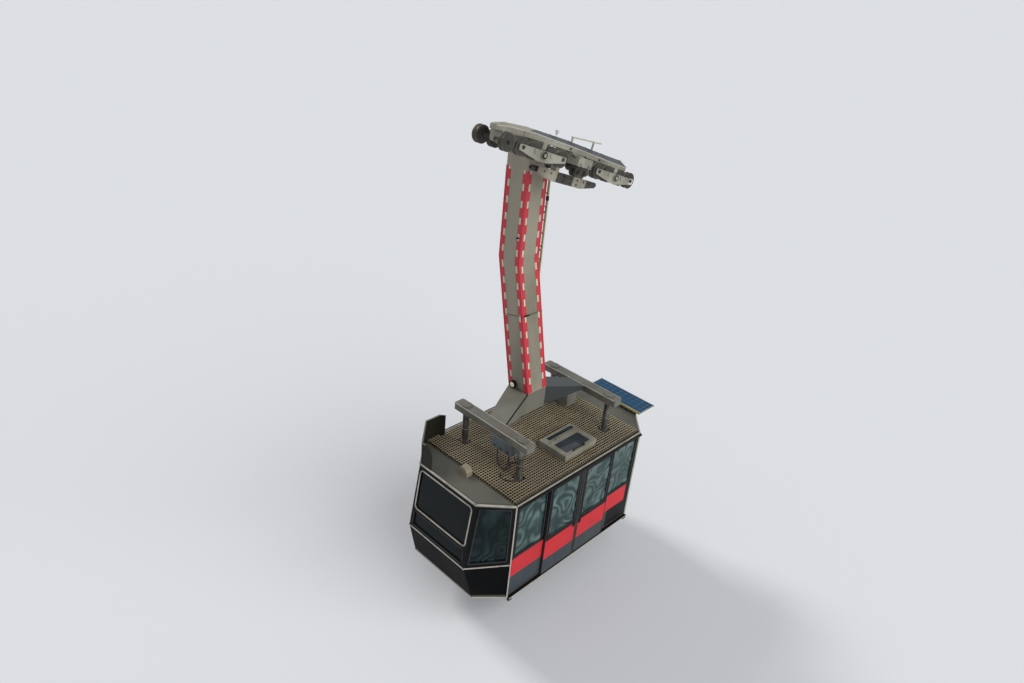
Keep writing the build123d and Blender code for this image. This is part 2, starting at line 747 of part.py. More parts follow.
# Head: the column's round top and the pin that carries everything
with BuildPart() as head:
    with BuildSketch(Plane.XZ.offset(-(COLUMN_BEND[1] + half))):
        with BuildLine():
            Polyline((-half, COLUMN_TOP), (half, COLUMN_TOP), (half, PIN_UP), (-half, PIN_UP), close=True)
        make_face()
        with Locations((0, PIN_UP)):
            Circle(half)
    extrude(amount=COLUMN)
    with BuildSketch(Plane.XZ.offset(-COLUMN_BEND[1])):
        with Locations((0, PIN_UP)):
            Circle(PIN_D / 2)
    extrude(amount=COLUMN_BEND[1] + HOUSING_REACH - PIN_SHORT)
save(head, "hanger_head")

# Ladder on the downhill face of the column
ladder_x = half + LADDER_OUT
stile_spots = [(ladder_x, COLUMN_BEND[1] + side * LADDER_HALF) for side in (-1, 1)]
with BuildPart() as ladder:
    with BuildSketch(Plane.XY.offset(LADDER_SPAN[0])):
        with Locations(stile_spots):
            Rectangle(*LADDER_STILE)
    extrude(amount=LADDER_SPAN[1] - LADDER_SPAN[0])
    rungs = int((LADDER_SPAN[1] - LADDER_SPAN[0]) / RUNG_PITCH)
    rung_heights = [LADDER_SPAN[0] + RUNG_PITCH * (i + 0.5) for i in range(rungs)]
    with BuildSketch(Plane.XZ.offset(-COLUMN_BEND[1])):
        with Locations([(ladder_x, z) for z in rung_heights]):
            Circle(RUNG_R)
    extrude(amount=LADDER_HALF, both=True)
    for bracket_z in LADDER_BRACKETS:
        for _, stile_y in stile_spots:
            with Locations(((half + ladder_x) / 2, stile_y, bracket_z)):
                Box(LADDER_OUT, LADDER_BRACKET, LADDER_BRACKET)
save(ladder, "hanger_ladder")

# Running gear places along the ropes
pin_along = -PIN_UP * slope_sin
pin_up = PIN_UP * slope_cos
rope_y = ROPE_GAUGE / 2
plate_inner = rope_y - WHEEL_WIDTH / 2 - ROCKER_SIDE_GAP - ROCKER_PLATE
plate_outer = rope_y + WHEEL_WIDTH / 2 + ROCKER_SIDE_GAP
rocker_reach = plate_outer + ROCKER_PLATE
axle_steps = (-AXLE_OUTER, -AXLE_INNER, AXLE_INNER, AXLE_OUTER)
axle_spots = [END_AXLE]
for pivot in PIVOTS.values():
    for step in axle_steps:
        axle_spots.append(pivot + step)
girder_uphill = GIRDER_LINE[0][0]
girder_downhill = GIRDER_LINE[-1][0]


def girder_heights(along):
    """Underside, top and ridge of the girder at a place along it."""
    for low, high in zip(GIRDER_LINE, GIRDER_LINE[1:]):
        if low[0] <= along <= high[0]:
            share = (along - low[0]) / (high[0] - low[0])
            return [a + share * (b - a) for a, b in zip(low[1:], high[1:])]
    raise ValueError("beyond the girder")


def nose_cutters():
    """Upright wedges beside the beam, which narrows to a nose over the end axle."""
    with BuildPart() as wedges:
        for side in (-1, 1):
            with BuildSketch(Plane.XY.offset(carriage_point(girder_uphill, 0)[2] - GIRDER_HALF)):
                with BuildLine():
                    nose_x = carriage_point(girder_uphill, 0)[0]
                    Polyline(
                        (nose_x + NOSE_LENGTH * slope_cos, side * (GIRDER_HALF + COVER_LIP)),
                        (nose_x - GIRDER_HALF, side * (GIRDER_HALF + COVER_LIP)),
                        (nose_x - GIRDER_HALF, side * NOSE_HALF),
                        (nose_x, side * NOSE_HALF),
                        close=True,
                    )
                make_face()
            extrude(amount=5 * GIRDER_HALF)
    return wedges.part


# Girder: box beam with its end plate, the housings of the hanger pin, the brackets, lugs
# and pins of the rockers, the plates of the end axle and the arms of the haul rope clamp
with BuildPart() as girder:
    with BuildSketch(carriage_side(GIRDER_HALF)):
        with BuildLine():
            low_line = [(along, low) for along, low, _, _ in GIRDER_LINE]
            top_line = [(along, top) for along, _, top, _ in GIRDER_LINE]
            Polyline(low_line + top_line[::-1], close=True)
        make_face()
    extrude(amount=2 * GIRDER_HALF)
    end_low, end_top, end_ridge = GIRDER_LINE[-1][1:]
    end_plane = Plane(
        origin=carriage_point(girder_downhill, 0),
        x_dir=(0, 1, 0),
        z_dir=(slope_cos, 0, -slope_sin),
    )
    with BuildSketch(end_plane):
        with BuildLine():
            Polyline(
                (-GIRDER_HALF, end_low),
                (GIRDER_HALF, end_low),
                (GIRDER_HALF, end_top + 2 * COVER_LIP),
                (0, end_ridge + COVER_LIP),
                (-GIRDER_HALF, end_top + 2 * COVER_LIP),
                close=True,
            )
        make_face()
    extrude(amount=END_PLATE)

    add(nose_cutters(), mode=Mode.SUBTRACT)

    # Crosshead that houses the hanger pin, with its neck up to the beam
    with BuildSketch(carriage_side(0)):
        with Locations((pin_along, (HOUSING_LOW + HOUSING_TOP) / 2)):
            Rectangle(2 * HOUSING_HALF, HOUSING_TOP - HOUSING_LOW)
    extrude(amount=HOUSING_REACH, both=True)
    neck_top = girder_heights(pin_along)[0] + COVER_LIP
    with BuildSketch(carriage_side(0)):
        with Locations((pin_along, (HOUSING_TOP + neck_top) / 2)):
            Rectangle(2 * HOUSING_HALF, neck_top - HOUSING_TOP)
    extrude(amount=GIRDER_HALF - COVER_LIP, both=True)

    for pivot in PIVOTS.values():
        member_low = ROCKER_TOP + BRACKET_OVER
        member_top = girder_heights(pivot)[0]
        with BuildSketch(carriage_side(0)):
            with Locations((pivot, (member_low + member_top) / 2)):
                Rectangle(2 * BRACKET_HALF, member_top - member_low)
        extrude(amount=BRACKET_REACH, both=True)
        for side in (-1, 1):
            with BuildSketch(carriage_side(side * rope_y)):
                with Locations((pivot, (member_low + PIVOT_UP) / 2)):
                    Rectangle(2 * BRACKET_HALF, member_low - PIVOT_UP)
                with Locations((pivot, PIVOT_UP)):
                    Circle(BRACKET_HALF)
            extrude(amount=LUG_THICK / 2, both=True)
            with BuildSketch(carriage_side(side * rope_y)):
                with Locations((pivot, PIVOT_UP)):
                    Circle(PIVOT_D / 2)
            extrude(amount=rocker_reach + SEAT_GAP - rope_y, both=True)
            with BuildSketch(carriage_side(side * (rocker_reach + SEAT_GAP + PIVOT_HEAD / 2))):
                with Locations((pivot, PIVOT_UP)):
                    Circle(PIVOT_HEAD_R)
            extrude(amount=PIVOT_HEAD / 2, both=True)

    with BuildSketch(carriage_side(0)):
        with BuildLine():
            plate_top = girder_heights(END_AXLE)[0] + COVER_LIP
            Polyline(
                (girder_uphill, plate_top),
                (END_AXLE - AXLE_D, axle_up),
                (END_AXLE + AXLE_D, axle_up),
                (END_AXLE + 3 * AXLE_D, plate_top),
                close=True,
            )
        make_face()
        with Locations((END_AXLE, axle_up)):
            Circle(AXLE_D)
    extrude(amount=NOSE_HALF, both=True)

    with BuildSketch(carriage_side(0)):
        for arm in (-CLAMP_ARM, CLAMP_ARM):
            arm_top = girder_heights(arm)[0] + COVER_LIP
            with Locations((arm, (CLAMP_TOP + arm_top) / 2)):
                Rectangle(ARM_WIDTH, arm_top - CLAMP_TOP)
    extrude(amount=ARM_THICK / 2, both=True)

    # The pin's bore stops short of the near face of its housing
    with BuildSketch(carriage_side(-(HOUSING_REACH - HOUSING_FACE))):
        with Locations((pin_along, pin_up)):
            Circle(PIN_D / 2 + PIN_CLEAR)
    extrude(amount=-2 * HOUSING_REACH, mode=Mode.SUBTRACT)
    with BuildSketch(carriage_side(0)):
        with Locations((END_AXLE, axle_up)):
            Circle(AXLE_D / 2 + AXLE_CLEAR)
    extrude(amount=HOUSING_REACH, both=True, mode=Mode.SUBTRACT)
save(girder, "carriage_girder")

# Cover: a shallow roof over the girder, hipped at its uphill end
with BuildPart() as cover:
    for y in (-GIRDER_HALF, 0, GIRDER_HALF):
        with BuildSketch(carriage_side(y)):
            with BuildLine():
                seat = [(along, top) for along, _, top, _ in GIRDER_LINE]
                if y == 0:
                    crest = [(along, ridge) for along, _, _, ridge in GIRDER_LINE]
                else:
                    crest = [(along, top + COVER_LIP) for along, _, top, _ in GIRDER_LINE]
                Polyline(seat + crest[::-1], close=True)
            make_face()
    loft(ruled=True)
    add(nose_cutters(), mode=Mode.SUBTRACT)
save(cover, "girder_cover")

# Service rail on the cover's ridge: two posts and a rail that rises downhill
RAIL_FROM = (-127, 577)
RAIL_TO = (791, 642)
RAIL_THICK = 28
RAIL_POSTS = (-102, 553)
with BuildPart() as service_rail:
    with BuildSketch(carriage_side(0)):
        with BuildLine():
            Polyline(
                (RAIL_FROM[0], RAIL_FROM[1] - RAIL_THICK / 2),
                (RAIL_FROM[0], RAIL_FROM[1] + RAIL_THICK / 2),
                (RAIL_TO[0], RAIL_TO[1] + RAIL_THICK / 2),
                (RAIL_TO[0], RAIL_TO[1] - RAIL_THICK / 2),
                close=True,
            )
        make_face()
        for along in RAIL_POSTS:
            foot_up = max(girder_heights(along + step * RAIL_THICK / 2)[2] for step in (-1, 1))
            share = (along - RAIL_FROM[0]) / (RAIL_TO[0] - RAIL_FROM[0])
            head_up = RAIL_FROM[1] + share * (RAIL_TO[1] - RAIL_FROM[1])
            with Locations((along, (foot_up + SEAT_GAP + head_up) / 2)):
                Rectangle(RAIL_THICK, head_up - foot_up - SEAT_GAP)
    extrude(amount=RAIL_THICK / 2, both=True)
save(service_rail, "service_rail")

# Lamp on the ridge: a stem with a lens that flares upwards
LAMP_ALONG = -570
LAMP_STEM = (14, 40)
LAMP_LENS = (22, 48, 68)
lamp_up = girder_heights(LAMP_ALONG + LAMP_STEM[0])[2] + SEAT_GAP
lamp_x, _, lamp_z = carriage_point(LAMP_ALONG, lamp_up)
with BuildPart() as ridge_lamp:
    with BuildSketch(Plane(origin=(lamp_x, 0, lamp_z), x_dir=(slope_cos, 0, -slope_sin), z_dir=(0, -1, 0))):
        with BuildLine():
            Polyline(
                (0, 0),
                (LAMP_STEM[0], 0),
                (LAMP_STEM[0], LAMP_STEM[1]),
                (LAMP_LENS[0], LAMP_STEM[1]),
                (LAMP_LENS[1], LAMP_STEM[1] + LAMP_LENS[2]),
                (0, LAMP_STEM[1] + LAMP_LENS[2]),
                close=True,
            )
        make_face()
    revolve(axis=Axis((lamp_x, 0, lamp_z), (slope_sin, 0, slope_cos)))
save(ridge_lamp, "carriage_lamp")

# Rockers: on each rope two plates, bossed at the pivot and tied below it
for end_name, pivot in PIVOTS.items():
    with BuildPart() as rocker:
        for side in (-1, 1):
            for y in (plate_inner, plate_outer):
                with BuildSketch(carriage_side(side * (y + ROCKER_PLATE / 2))):
                    with BuildLine():
                        Polyline(
                            (pivot - ROCKER_HALF, ROCKER_END_LOW),
                            (pivot - ROCKER_HALF, ROCKER_TOP - ROCKER_CHAMFER),
                            (pivot - ROCKER_HALF + ROCKER_CHAMFER, ROCKER_TOP),
                            (pivot + ROCKER_HALF - ROCKER_CHAMFER, ROCKER_TOP),
                            (pivot + ROCKER_HALF, ROCKER_TOP - ROCKER_CHAMFER),
                            (pivot + ROCKER_HALF, ROCKER_END_LOW),
                            (pivot + ROCKER_LOW_HALF, ROCKER_LOW),
                            (pivot - ROCKER_LOW_HALF, ROCKER_LOW),
                            close=True,
                        )
                    make_face()
                extrude(amount=ROCKER_PLATE / 2, both=True)
            with BuildSketch(carriage_side(side * rope_y)):
                with Locations((pivot, PIVOT_UP)):
                    Circle(BRACKET_HALF)
            extrude(amount=plate_outer - rope_y, both=True)
            with BuildSketch(carriage_side(side * rope_y)):
                with Locations((pivot, PIVOT_UP)):
                    Rectangle(4 * BRACKET_HALF, 4 * BRACKET_HALF)
            extrude(amount=LUG_THICK / 2 + SEAT_GAP, both=True, mode=Mode.SUBTRACT)
            with BuildSketch(carriage_side(side * rope_y)):
                with Locations((pivot, (TIE_LOW + TIE_HIGH) / 2)):
                    Rectangle(2 * BRACKET_HALF, TIE_HIGH - TIE_LOW)
            extrude(amount=plate_outer - rope_y, both=True)
        with BuildSketch(carriage_side(0)):
            with Locations((pivot, PIVOT_UP)):
                Circle(PIVOT_D / 2 + SEAT_GAP)
            with Locations([(pivot + step, axle_up) for step in axle_steps]):
                Circle(AXLE_D / 2 + AXLE_CLEAR)
        extrude(amount=rocker_reach, both=True, mode=Mode.SUBTRACT)
    save(rocker, f"rocker_{end_name}")

# Wheelsets: an axle with a grooved wheel over each rope
for number, along in enumerate(axle_spots, start=1):
    x, _, z = carriage_point(along, axle_up)
    with BuildPart() as wheelset:
        with BuildSketch(Plane(origin=(x, 0, z), x_dir=(0, 1, 0), z_dir=(1, 0, 0))):
            with Locations((0, AXLE_D / 4)):
                Rectangle(2 * (rocker_reach + AXLE_END), AXLE_D / 2)
            for side in (-1, 1):
                with BuildLine():
                    Polyline(
                        (side * rope_y - WHEEL_WIDTH / 2, 0),
                        (side * rope_y - WHEEL_WIDTH / 2, FLANGE_R),
                        (side * rope_y - GROOVE_LIP, FLANGE_R),
                        (side * rope_y, TREAD_R),
                        (side * rope_y + GROOVE_LIP, FLANGE_R),
                        (side * rope_y + WHEEL_WIDTH / 2, FLANGE_R),
                        (side * rope_y + WHEEL_WIDTH / 2, 0),
                        close=True,
                    )
                make_face()
        revolve(axis=Axis((x, 0, z), (0, 1, 0)))
    save(wheelset, f"wheelset_{number}")

# Rope brakes: a caliper round each rope under the pin's housing, with its spring cans
with BuildPart() as brakes:
    for side in (-1, 1):
        for flank in (-1, 1):
            with BuildSketch(carriage_side(side * rope_y + flank * (JAW_GAP + JAW_THICK / 2))):
                with BuildLine():
                    Polyline(
                        (pin_along - JAW_LENGTH / 2, JAW_HALF),
                        (pin_along + JAW_LENGTH / 2, JAW_HALF),
                        (pin_along + JAW_LENGTH / 2, JAW_TAPER - JAW_HALF),
                        (pin_along + JAW_LENGTH / 2 - JAW_TAPER, -JAW_HALF),
                        (pin_along - JAW_LENGTH / 2 + JAW_TAPER, -JAW_HALF),
                        (pin_along - JAW_LENGTH / 2, JAW_TAPER - JAW_HALF),
                        close=True,
                    )
                make_face()
            extrude(amount=JAW_THICK / 2, both=True)
        with BuildSketch(carriage_side(side * rope_y)):
            with Locations((pin_along, (JAW_HALF + HOUSING_LOW) / 2)):
                Rectangle(JAW_LENGTH, HOUSING_LOW - JAW_HALF)
        extrude(amount=JAW_GAP + JAW_THICK, both=True)
        with BuildSketch(carriage_side(side * (rope_y + JAW_GAP + JAW_THICK + SPRING_OUT / 2))):
            with Locations((pin_along, JAW_TAPER / 2)):
                with GridLocations(2 * SPRING_STEP, 0, 2, 1):
                    Circle(SPRING_R)
        extrude(amount=SPRING_OUT / 2, both=True)
save(brakes, "rope_brakes")

# Clamp of the haul rope, hung between the track ropes, with a tapered socket at each end
with BuildPart() as clamp:
    with BuildSketch(carriage_side(0)):
        with BuildLine():
            Polyline(
                (-CLAMP_HALF, CLAMP_TOP),
                (CLAMP_HALF, CLAMP_TOP),
                (CLAMP_HALF, CLAMP_END_LOW),
                (CLAMP_BELLY, CLAMP_LOW),
                (-CLAMP_BELLY, CLAMP_LOW),
                (-CLAMP_HALF, CLAMP_END_LOW),
                close=True,
            )
        make_face()
    extrude(amount=CLAMP_THICK / 2, both=True)
    for end in (-1, 1):
        mouth = Plane(
            origin=carriage_point(end * CLAMP_HALF, SOCKET_UP),
            x_dir=(0, 1, 0),
            z_dir=(end * slope_cos, 0, -end * slope_sin),
        )
        with BuildSketch(mouth):
            Circle(SOCKET_BASE_R)
        extrude(amount=SOCKET_LENGTH, taper=SOCKET_TAPER)
        with BuildSketch(mouth):
            Circle(SOCKET_R)
        extrude(amount=SOCKET_LENGTH, mode=Mode.SUBTRACT)
save(clamp, "haul_rope_clamp")

# Cabin inside: stanchions with their rails, and the attendant's desk
STANCHION_X = 1150
STANCHION_Y = 560
STANCHION_R = 18
HAND_RAIL_R = 15
HAND_RAIL_UP = 1980
HAND_RAIL_PAST = 500
floor_top = sill_z + FLOOR_THICK
with BuildPart() as rails:
    with BuildSketch(Plane.XY.offset(floor_top)):
        with Locations((0, CABIN_Y)):
            with GridLocations(2 * STANCHION_X, 2 * STANCHION_Y, 2, 2):
                Circle(STANCHION_R)
    extrude(amount=wall_top - floor_top)
    with BuildSketch(Plane.YZ):
        with Locations((CABIN_Y, sill_z + HAND_RAIL_UP)):
            with GridLocations(2 * STANCHION_Y, 0, 2, 1):
                Circle(HAND_RAIL_R)
    extrude(amount=STANCHION_X + HAND_RAIL_PAST, both=True)
save(rails, "grab_rails")

DESK_HALF = 320
DESK_FRONT = 860
DESK_BACK = 980
DESK_DEPTH = 220
DESK_LEAN = 40
desk_x = -(SIDE_HALF + 2 * WALL + DESK_LEAN)
with BuildPart() as desk:
    with BuildSketch(Plane.XZ.offset(-CABIN_Y)):
        with BuildLine():
            Polyline(
                (desk_x - DESK_DEPTH, floor_top),
                (desk_x - DESK_DEPTH - DESK_LEAN, floor_top + DESK_BACK),
                (desk_x, floor_top + DESK_FRONT),
                (desk_x, floor_top),
                close=True,
            )
        make_face()
    extrude(amount=DESK_HALF, both=True)
save(desk, "control_desk")
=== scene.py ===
import math

import bmesh
import bpy
from mathutils import Matrix, Vector


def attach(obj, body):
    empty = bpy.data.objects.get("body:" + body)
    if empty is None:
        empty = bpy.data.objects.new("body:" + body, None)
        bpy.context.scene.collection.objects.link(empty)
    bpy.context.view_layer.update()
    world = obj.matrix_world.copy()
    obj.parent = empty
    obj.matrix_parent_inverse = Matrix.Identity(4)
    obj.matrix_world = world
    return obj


# Dressed model of an aerial cable car, in metres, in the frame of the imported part:
# +X runs along the line and downhill, +Z is up, and the hanger passes the ropes on the +Y side.

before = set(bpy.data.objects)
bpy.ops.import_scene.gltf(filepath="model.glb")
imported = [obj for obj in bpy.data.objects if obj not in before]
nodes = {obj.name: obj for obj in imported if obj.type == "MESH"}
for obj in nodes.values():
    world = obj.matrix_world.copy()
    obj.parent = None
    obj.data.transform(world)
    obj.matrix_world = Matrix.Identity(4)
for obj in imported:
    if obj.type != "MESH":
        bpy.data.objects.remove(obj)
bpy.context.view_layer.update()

# Camera, fitted to the photograph
CAMERA_PLACE = (-10.633, -8.664, 3.487)
CAMERA_HEADING = 0.7336
CAMERA_PITCH = 0.4803
CAMERA_ROLL = 0.0983
CAMERA_LENS = 26.34
SENSOR_WIDTH = 36.0

# Floor, sky and suns: colours as linear values, then direction, strength, angle and colour
FLOOR_Z = -9.2
FLOOR_REACH = 400
FLOOR_COLOUR = (0.78, 0.8, 0.83, 1)
SKY_SEEN = (0.718, 0.7365, 0.767, 1)
SKY_LIGHT = (0.88, 0.92, 1.0, 1)
SKY_STRENGTH = 0.35
SUNS = {
    "key": ((-0.2, 1.5, 1.0), 1.45, 0.25, (1.0, 0.97, 0.92)),
    "fill": ((0.12, -1.0, 0.6), 2.2, 1.2, (1.0, 0.98, 0.95)),
}

# Cabin levels: height, reach beyond the side wall and half width of the end face
CABIN_Y = -0.05
SIDE_HALF = 2.0
HALF_WIDTH = 1.38
ROOF_LEVEL = (-5.91, 0.573, 0.831)
BELT_LEVEL = (-7.413, 0.791, 0.846)
SILL_LEVEL = (-8.31, 0.548, 0.907)
ROOF_Z = ROOF_LEVEL[0]
SILL_Z = SILL_LEVEL[0]
LEAF_OUT = 0.050
RAIL_OUT = 0.062

# Livery on the sides, as heights
WALL_BAND = (-7.76, -7.30)
LEAF_BAND = (-7.86, -7.36)
DARK_END_X = 1.2
WALL_BLACK_X = 1.84
# Past LEAF_EDGE_X the leaf is black: a black strip that is also painted shade of the gap between leaf and
# wall.
LEAF_EDGE_X = 1.03

# Windows and doors: rounded outlines down the slope of the windscreen as half width, top,
# bottom and corner radius, and the sides' windows and leaves as ranges along X and in height
SCREEN_LINE = (0.768, 0.122, 1.042, 0.085)
LOW_PANE_LINE = (0.762, 1.123, 1.447, 0.045)
SIDE_WINDOW = (1.09, 1.90)
DOOR_WINDOW = (0.12, 0.95)
WINDOW_HEIGHTS = (ROOF_Z - 1.34, ROOF_Z - 0.11)
WINDOW_RADIUS = 0.06
CORNER_MARGIN = 0.09
CORNER_DROP = 0.11
LEAF_EDGES = (0.018, 1.024)
LEAF_HEIGHTS = (-8.26, -5.976)
GRIP_PLACE = (0.10, -7.40)
TRIM = 0.026

# Roof: grating, hatch, cabinet, solar panel and guard
GRATING_HALF = (2.0, 1.33)
GRATING_TOP = ROOF_Z + 0.0496
GRATING_PITCH = 0.064
# Width of the cream line on each bar; the rest of the bar is painted dark brown as painted shade.
CREAM_LINE_WIDTH = 0.012
CABINET_TOP = GRATING_TOP + 0.46
LID_TOP = ROOF_Z + 0.1903
LID_BAR_X = (-0.16, 0.66)
LID_BAR_Y = CABIN_Y - 0.56
LID_HANDLE_X = (0.0, 0.39)
LID_RIM_Y = CABIN_Y - 1.045
LID_HINGE_X = (0.0, 0.5)
LID_HINGE_Y = CABIN_Y - 0.322
PANEL_X = (SIDE_HALF + 0.49, SIDE_HALF + 1.05)
PANEL_Y = (CABIN_Y - 0.985, CABIN_Y + 0.585)
PANEL_Z = ROOF_Z + 0.095
GUARD_LINE = ((-1.62, 1.36), (-2.0, 1.36), (-2.553, 0.811), (-2.553, 0.72))
GUARD_TOP = ROOF_Z + 0.502

# Hanger column with its warning tape, foot, ladder and crossbeams
COLUMN_HALF = 0.2825
COLUMN_LOW = (-4.79, 0.255 + 0.42 / 3.18 * 0.71)
COLUMN_BEND = (-2.03, 0.965)
COLUMN_TOP = -0.15
COLUMN_JOINT = -3.175
COLUMN_PEG = (0.77, -1.515)
RED_STRIP = 0.060
WHITE_WIDTH = 0.102
BLOCK_WIDTH = 0.121
TAPE_PERIOD = 0.335
RED_SHARE = 0.58
PIN_Z = 0.215
LADDER_BRACKET_X = 0.43
LADDER_BRACKET_Z = -0.82
LADDER_RUNGS = (-2.96, 0.28, 10)
LADDER_X = COLUMN_HALF + 0.175
STILE_INNER = 0.174
STILE_OUTER = 0.2125
BEAM_X = 1.38
BEAM_HALF_WIDTH = 0.125
BEAM_TOP = ROOF_Z + 0.934
POST_Y = 0.805
BOX_UNDER = BEAM_TOP - 0.45
FOOT_Y = CABIN_Y + 0.02
FOOT_HALF = 0.235

# Carriage, in its sloping frame
SLOPE = math.radians(17.5)
ROPE_Y = 0.30
AXLE_UP = 0.150
WHEEL_HALF = 0.05
PIN_ALONG = -PIN_Z * math.sin(SLOPE)
PIVOTS = (-1.205, 1.030)
PIVOT_UP = 0.125
AXLE_STEPS = (-0.545, -0.215, 0.215, 0.545)
END_AXLE = -2.095
CLAMP_END = -0.886
CLAMP_GAP = (-0.07, 0.25)
CLAMP_TAIL = 0.58
ROCKER_OUTER = 0.376
PIVOT_OUTER = ROCKER_OUTER + 0.0403
BRAKE_STEP = 0.075
BRAKE_OUTER = ROPE_Y + 0.145
GIRDER_HALF = 0.200
HOUSING_REACH = 0.420
GIRDER_LINE = (
    (-2.180, 0.280, 0.350, 0.362),
    (-1.950, 0.296, 0.388, 0.440),
    (-1.400, 0.325, 0.418, 0.484),
    (-0.300, 0.327, 0.408, 0.497),
    (1.000, 0.294, 0.372, 0.473),
    (1.545, 0.290, 0.360, 0.470),
)
NOSE_HALF = 0.035
NOSE_LENGTH = 0.55
NOSE_FLARE = 0.012
BEAM_SEAM = -1.63
COVER_POINT = -1.18
COVER_SWEEP = 1.65

ENDS = {"uphill": -1, "downhill": 1}
SIDES = {"right": -1, "left": 1}
CORNERS = [(end, side) for end in ENDS.values() for side in SIDES.values()]


def tone(red, green, blue):
    """Linear colour of an 8-bit screen colour."""
    steps = [value / 255 for value in (red, green, blue)]
    return tuple(v / 12.92 if v <= 0.04045 else ((v + 0.055) / 1.055) ** 2.4 for v in steps) + (1,)


# Looks
def feed(tree, socket, value):
    """Give a node's input a constant or the output of another node."""
    if isinstance(value, bpy.types.NodeSocket):
        tree.links.new(value, socket)
    else:
        socket.default_value = value


def add_node(tree, kind, inputs=(), **settings):
    """New node with its settings, and its inputs by name or number."""
    node = tree.nodes.new(kind)
    for key, value in settings.items():
        setattr(node, key, value)
    for key, value in dict(inputs).items():
        feed(tree, node.inputs[key], value)
    return node


class Look:
    """A material whose nodes are added one by one."""

    def __init__(self, name, roughness=0.5, metallic=0.0, shine=0.5):
        self.material = bpy.data.materials.new(name)
        self.material.use_nodes = True
        self.tree = self.material.node_tree
        self.set("Roughness", roughness)
        self.set("Metallic", metallic)
        self.set("IOR", 1 + shine)
        self.place = self.add("ShaderNodeTexCoord").outputs["Object"]

    def set(self, name, value):
        """Input of the surface shader."""
        feed(self.tree, self.tree.nodes["Principled BSDF"].inputs[name], value)

    def add(self, kind, inputs=(), **settings):
        return add_node(self.tree, kind, inputs, **settings)

    def noise(self, scale, detail=4, stretch=(1, 1, 1)):
        """Noise fixed to the part, drawn out along an axis by a small stretch value."""
        drawn = self.add("ShaderNodeMapping", {"Vector": self.place, "Scale": stretch}).outputs["Vector"]
        values = {"Vector": drawn, "Scale": scale, "Detail": detail}
        return self.add("ShaderNodeTexNoise", values).outputs["Fac"]

    def ramp(self, factor, low, high):
        """Factor stretched so that low gives 0 and high gives 1."""
        values = {"Value": factor, "From Min": low, "From Max": high}
        return self.add("ShaderNodeMapRange", values).outputs["Result"]

    def patches(self, scale, low, high, detail=6, stretch=(1, 1, 1)):
        """Soft patches, none where the noise is below low and full above high."""
        return self.ramp(self.noise(scale, detail, stretch), low, high)

    def math(self, operation, first, second=0):
        return self.add("ShaderNodeMath", {0: first, 1: second}, operation=operation).outputs["Value"]

    def axis(self, letter):
        return self.add("ShaderNodeSeparateXYZ", {"Vector": self.place}).outputs[letter]

    def distance(self, letter, centre=0.0):
        """Distance to either side of a place on an axis."""
        return self.math("ABSOLUTE", self.math("SUBTRACT", self.axis(letter), centre))

    def along_slope(self):
        """Distance along the carriage."""
        level = self.math("MULTIPLY", self.axis("X"), math.cos(SLOPE))
        return self.math("SUBTRACT", level, self.math("MULTIPLY", self.axis("Z"), math.sin(SLOPE)))

    def mix(self, factor, first, second):
        """Colour that goes from first to second with the factor, each an 8-bit colour or a socket."""
        first, second = [tone(*value) if isinstance(value, tuple) else value for value in (first, second)]
        values = {"Factor": factor, 6: first, 7: second}
        return self.add("ShaderNodeMix", values, data_type="RGBA").outputs[2]

    def colour(self, factor, first, second):
        self.set("Base Color", self.mix(factor, first, second))

    def bump(self, scale, strength=0.08):
        """Fine unevenness of the surface."""
        values = {"Height": self.noise(scale, 2), "Strength": strength, "Distance": 0.001}
        self.set("Normal", self.add("ShaderNodeBump", values).outputs["Normal"])

    def grain(self, scale, low, high):
        """Roughness that varies in fine patches."""
        values = {"Value": self.noise(scale), "To Min": low, "To Max": high}
        self.set("Roughness", self.add("ShaderNodeMapRange", values).outputs["Result"])


def paint(name, colour, dirt=(70, 66, 56), share=0.35, roughness=0.45, scale=1.6, shine=0.5):
    """Weathered paint: clean colour, soft patches of dirt, and fine grain."""
    look = Look(name, roughness, shine=shine)
    soiled = look.patches(scale, 0.62 - share * 0.5, 0.82, 6, (1, 1, 0.35))
    look.colour(soiled, colour, dirt)
    look.grain(14, roughness - 0.08, roughness + 0.12)
    look.bump(60)
    return look


def metal(name, colour, roughness=0.35, dirt=(52, 47, 40), share=0.3, scale=6):
    look = Look(name, roughness, 0.85)
    soiled = look.patches(scale, 0.66 - share * 0.5, 0.8, 5)
    look.colour(soiled, colour, dirt)
    look.grain(25, roughness - 0.1, roughness + 0.2)
    return look


def rubber(name, colour=(28, 28, 30)):
    look = Look(name, 0.75)
    look.colour(look.noise(9), colour, tuple(c + 14 for c in colour))
    look.bump(80, 0.1)
    return look


def livery(name, band, black_from, face):
    """Outer face: black above, a red band and a grey panel, with black ends past two places along X."""
    look = Look(name, 0.4, shine=0.2)
    height = look.axis("Z")
    below_top = look.math("LESS_THAN", height, band[1])
    below_band = look.math("LESS_THAN", height, band[0])
    dust = look.patches(2.2, 0.5, 0.8, 6, (1, 1, 0.4))
    black = look.mix(dust, (16, 16, 18), (36, 35, 33))
    red = look.mix(dust, (196, 46, 54), (166, 56, 58))
    panel = look.mix(dust, (60, 67, 72), (72, 74, 74))
    along = look.axis("X")
    dark_end = look.math("GREATER_THAN", along, DARK_END_X)
    low_part = look.mix(dark_end, panel, black)
    upper = look.mix(below_top, black, red)
    whole = look.mix(below_band, upper, low_part)
    behind = look.math("LESS_THAN", along, black_from[0])
    ahead = look.math("GREATER_THAN", along, black_from[1])
    outer_face = look.mix(look.math("MAXIMUM", behind, ahead), whole, black)
    outer = look.math("GREATER_THAN", look.distance("Y", CABIN_Y), face - 0.004)
    look.colour(outer, (46, 47, 49), outer_face)
    look.grain(18, 0.34, 0.5)
    return look


def glass(name, colour, see_through, roughness=0.06, pale=22, shine=0.4):
    """Tinted pane: a glossy face that lets part of the inside show, clouded by a pale tone."""
    look = Look(name, roughness, shine=shine)
    streaks = look.patches(1.3, 0.3, 0.7, 3, (1, 1, 1.6))
    look.colour(streaks, colour, tuple(min(255, c + pale) for c in colour))
    look.set("Alpha", 1 - see_through)
    return look


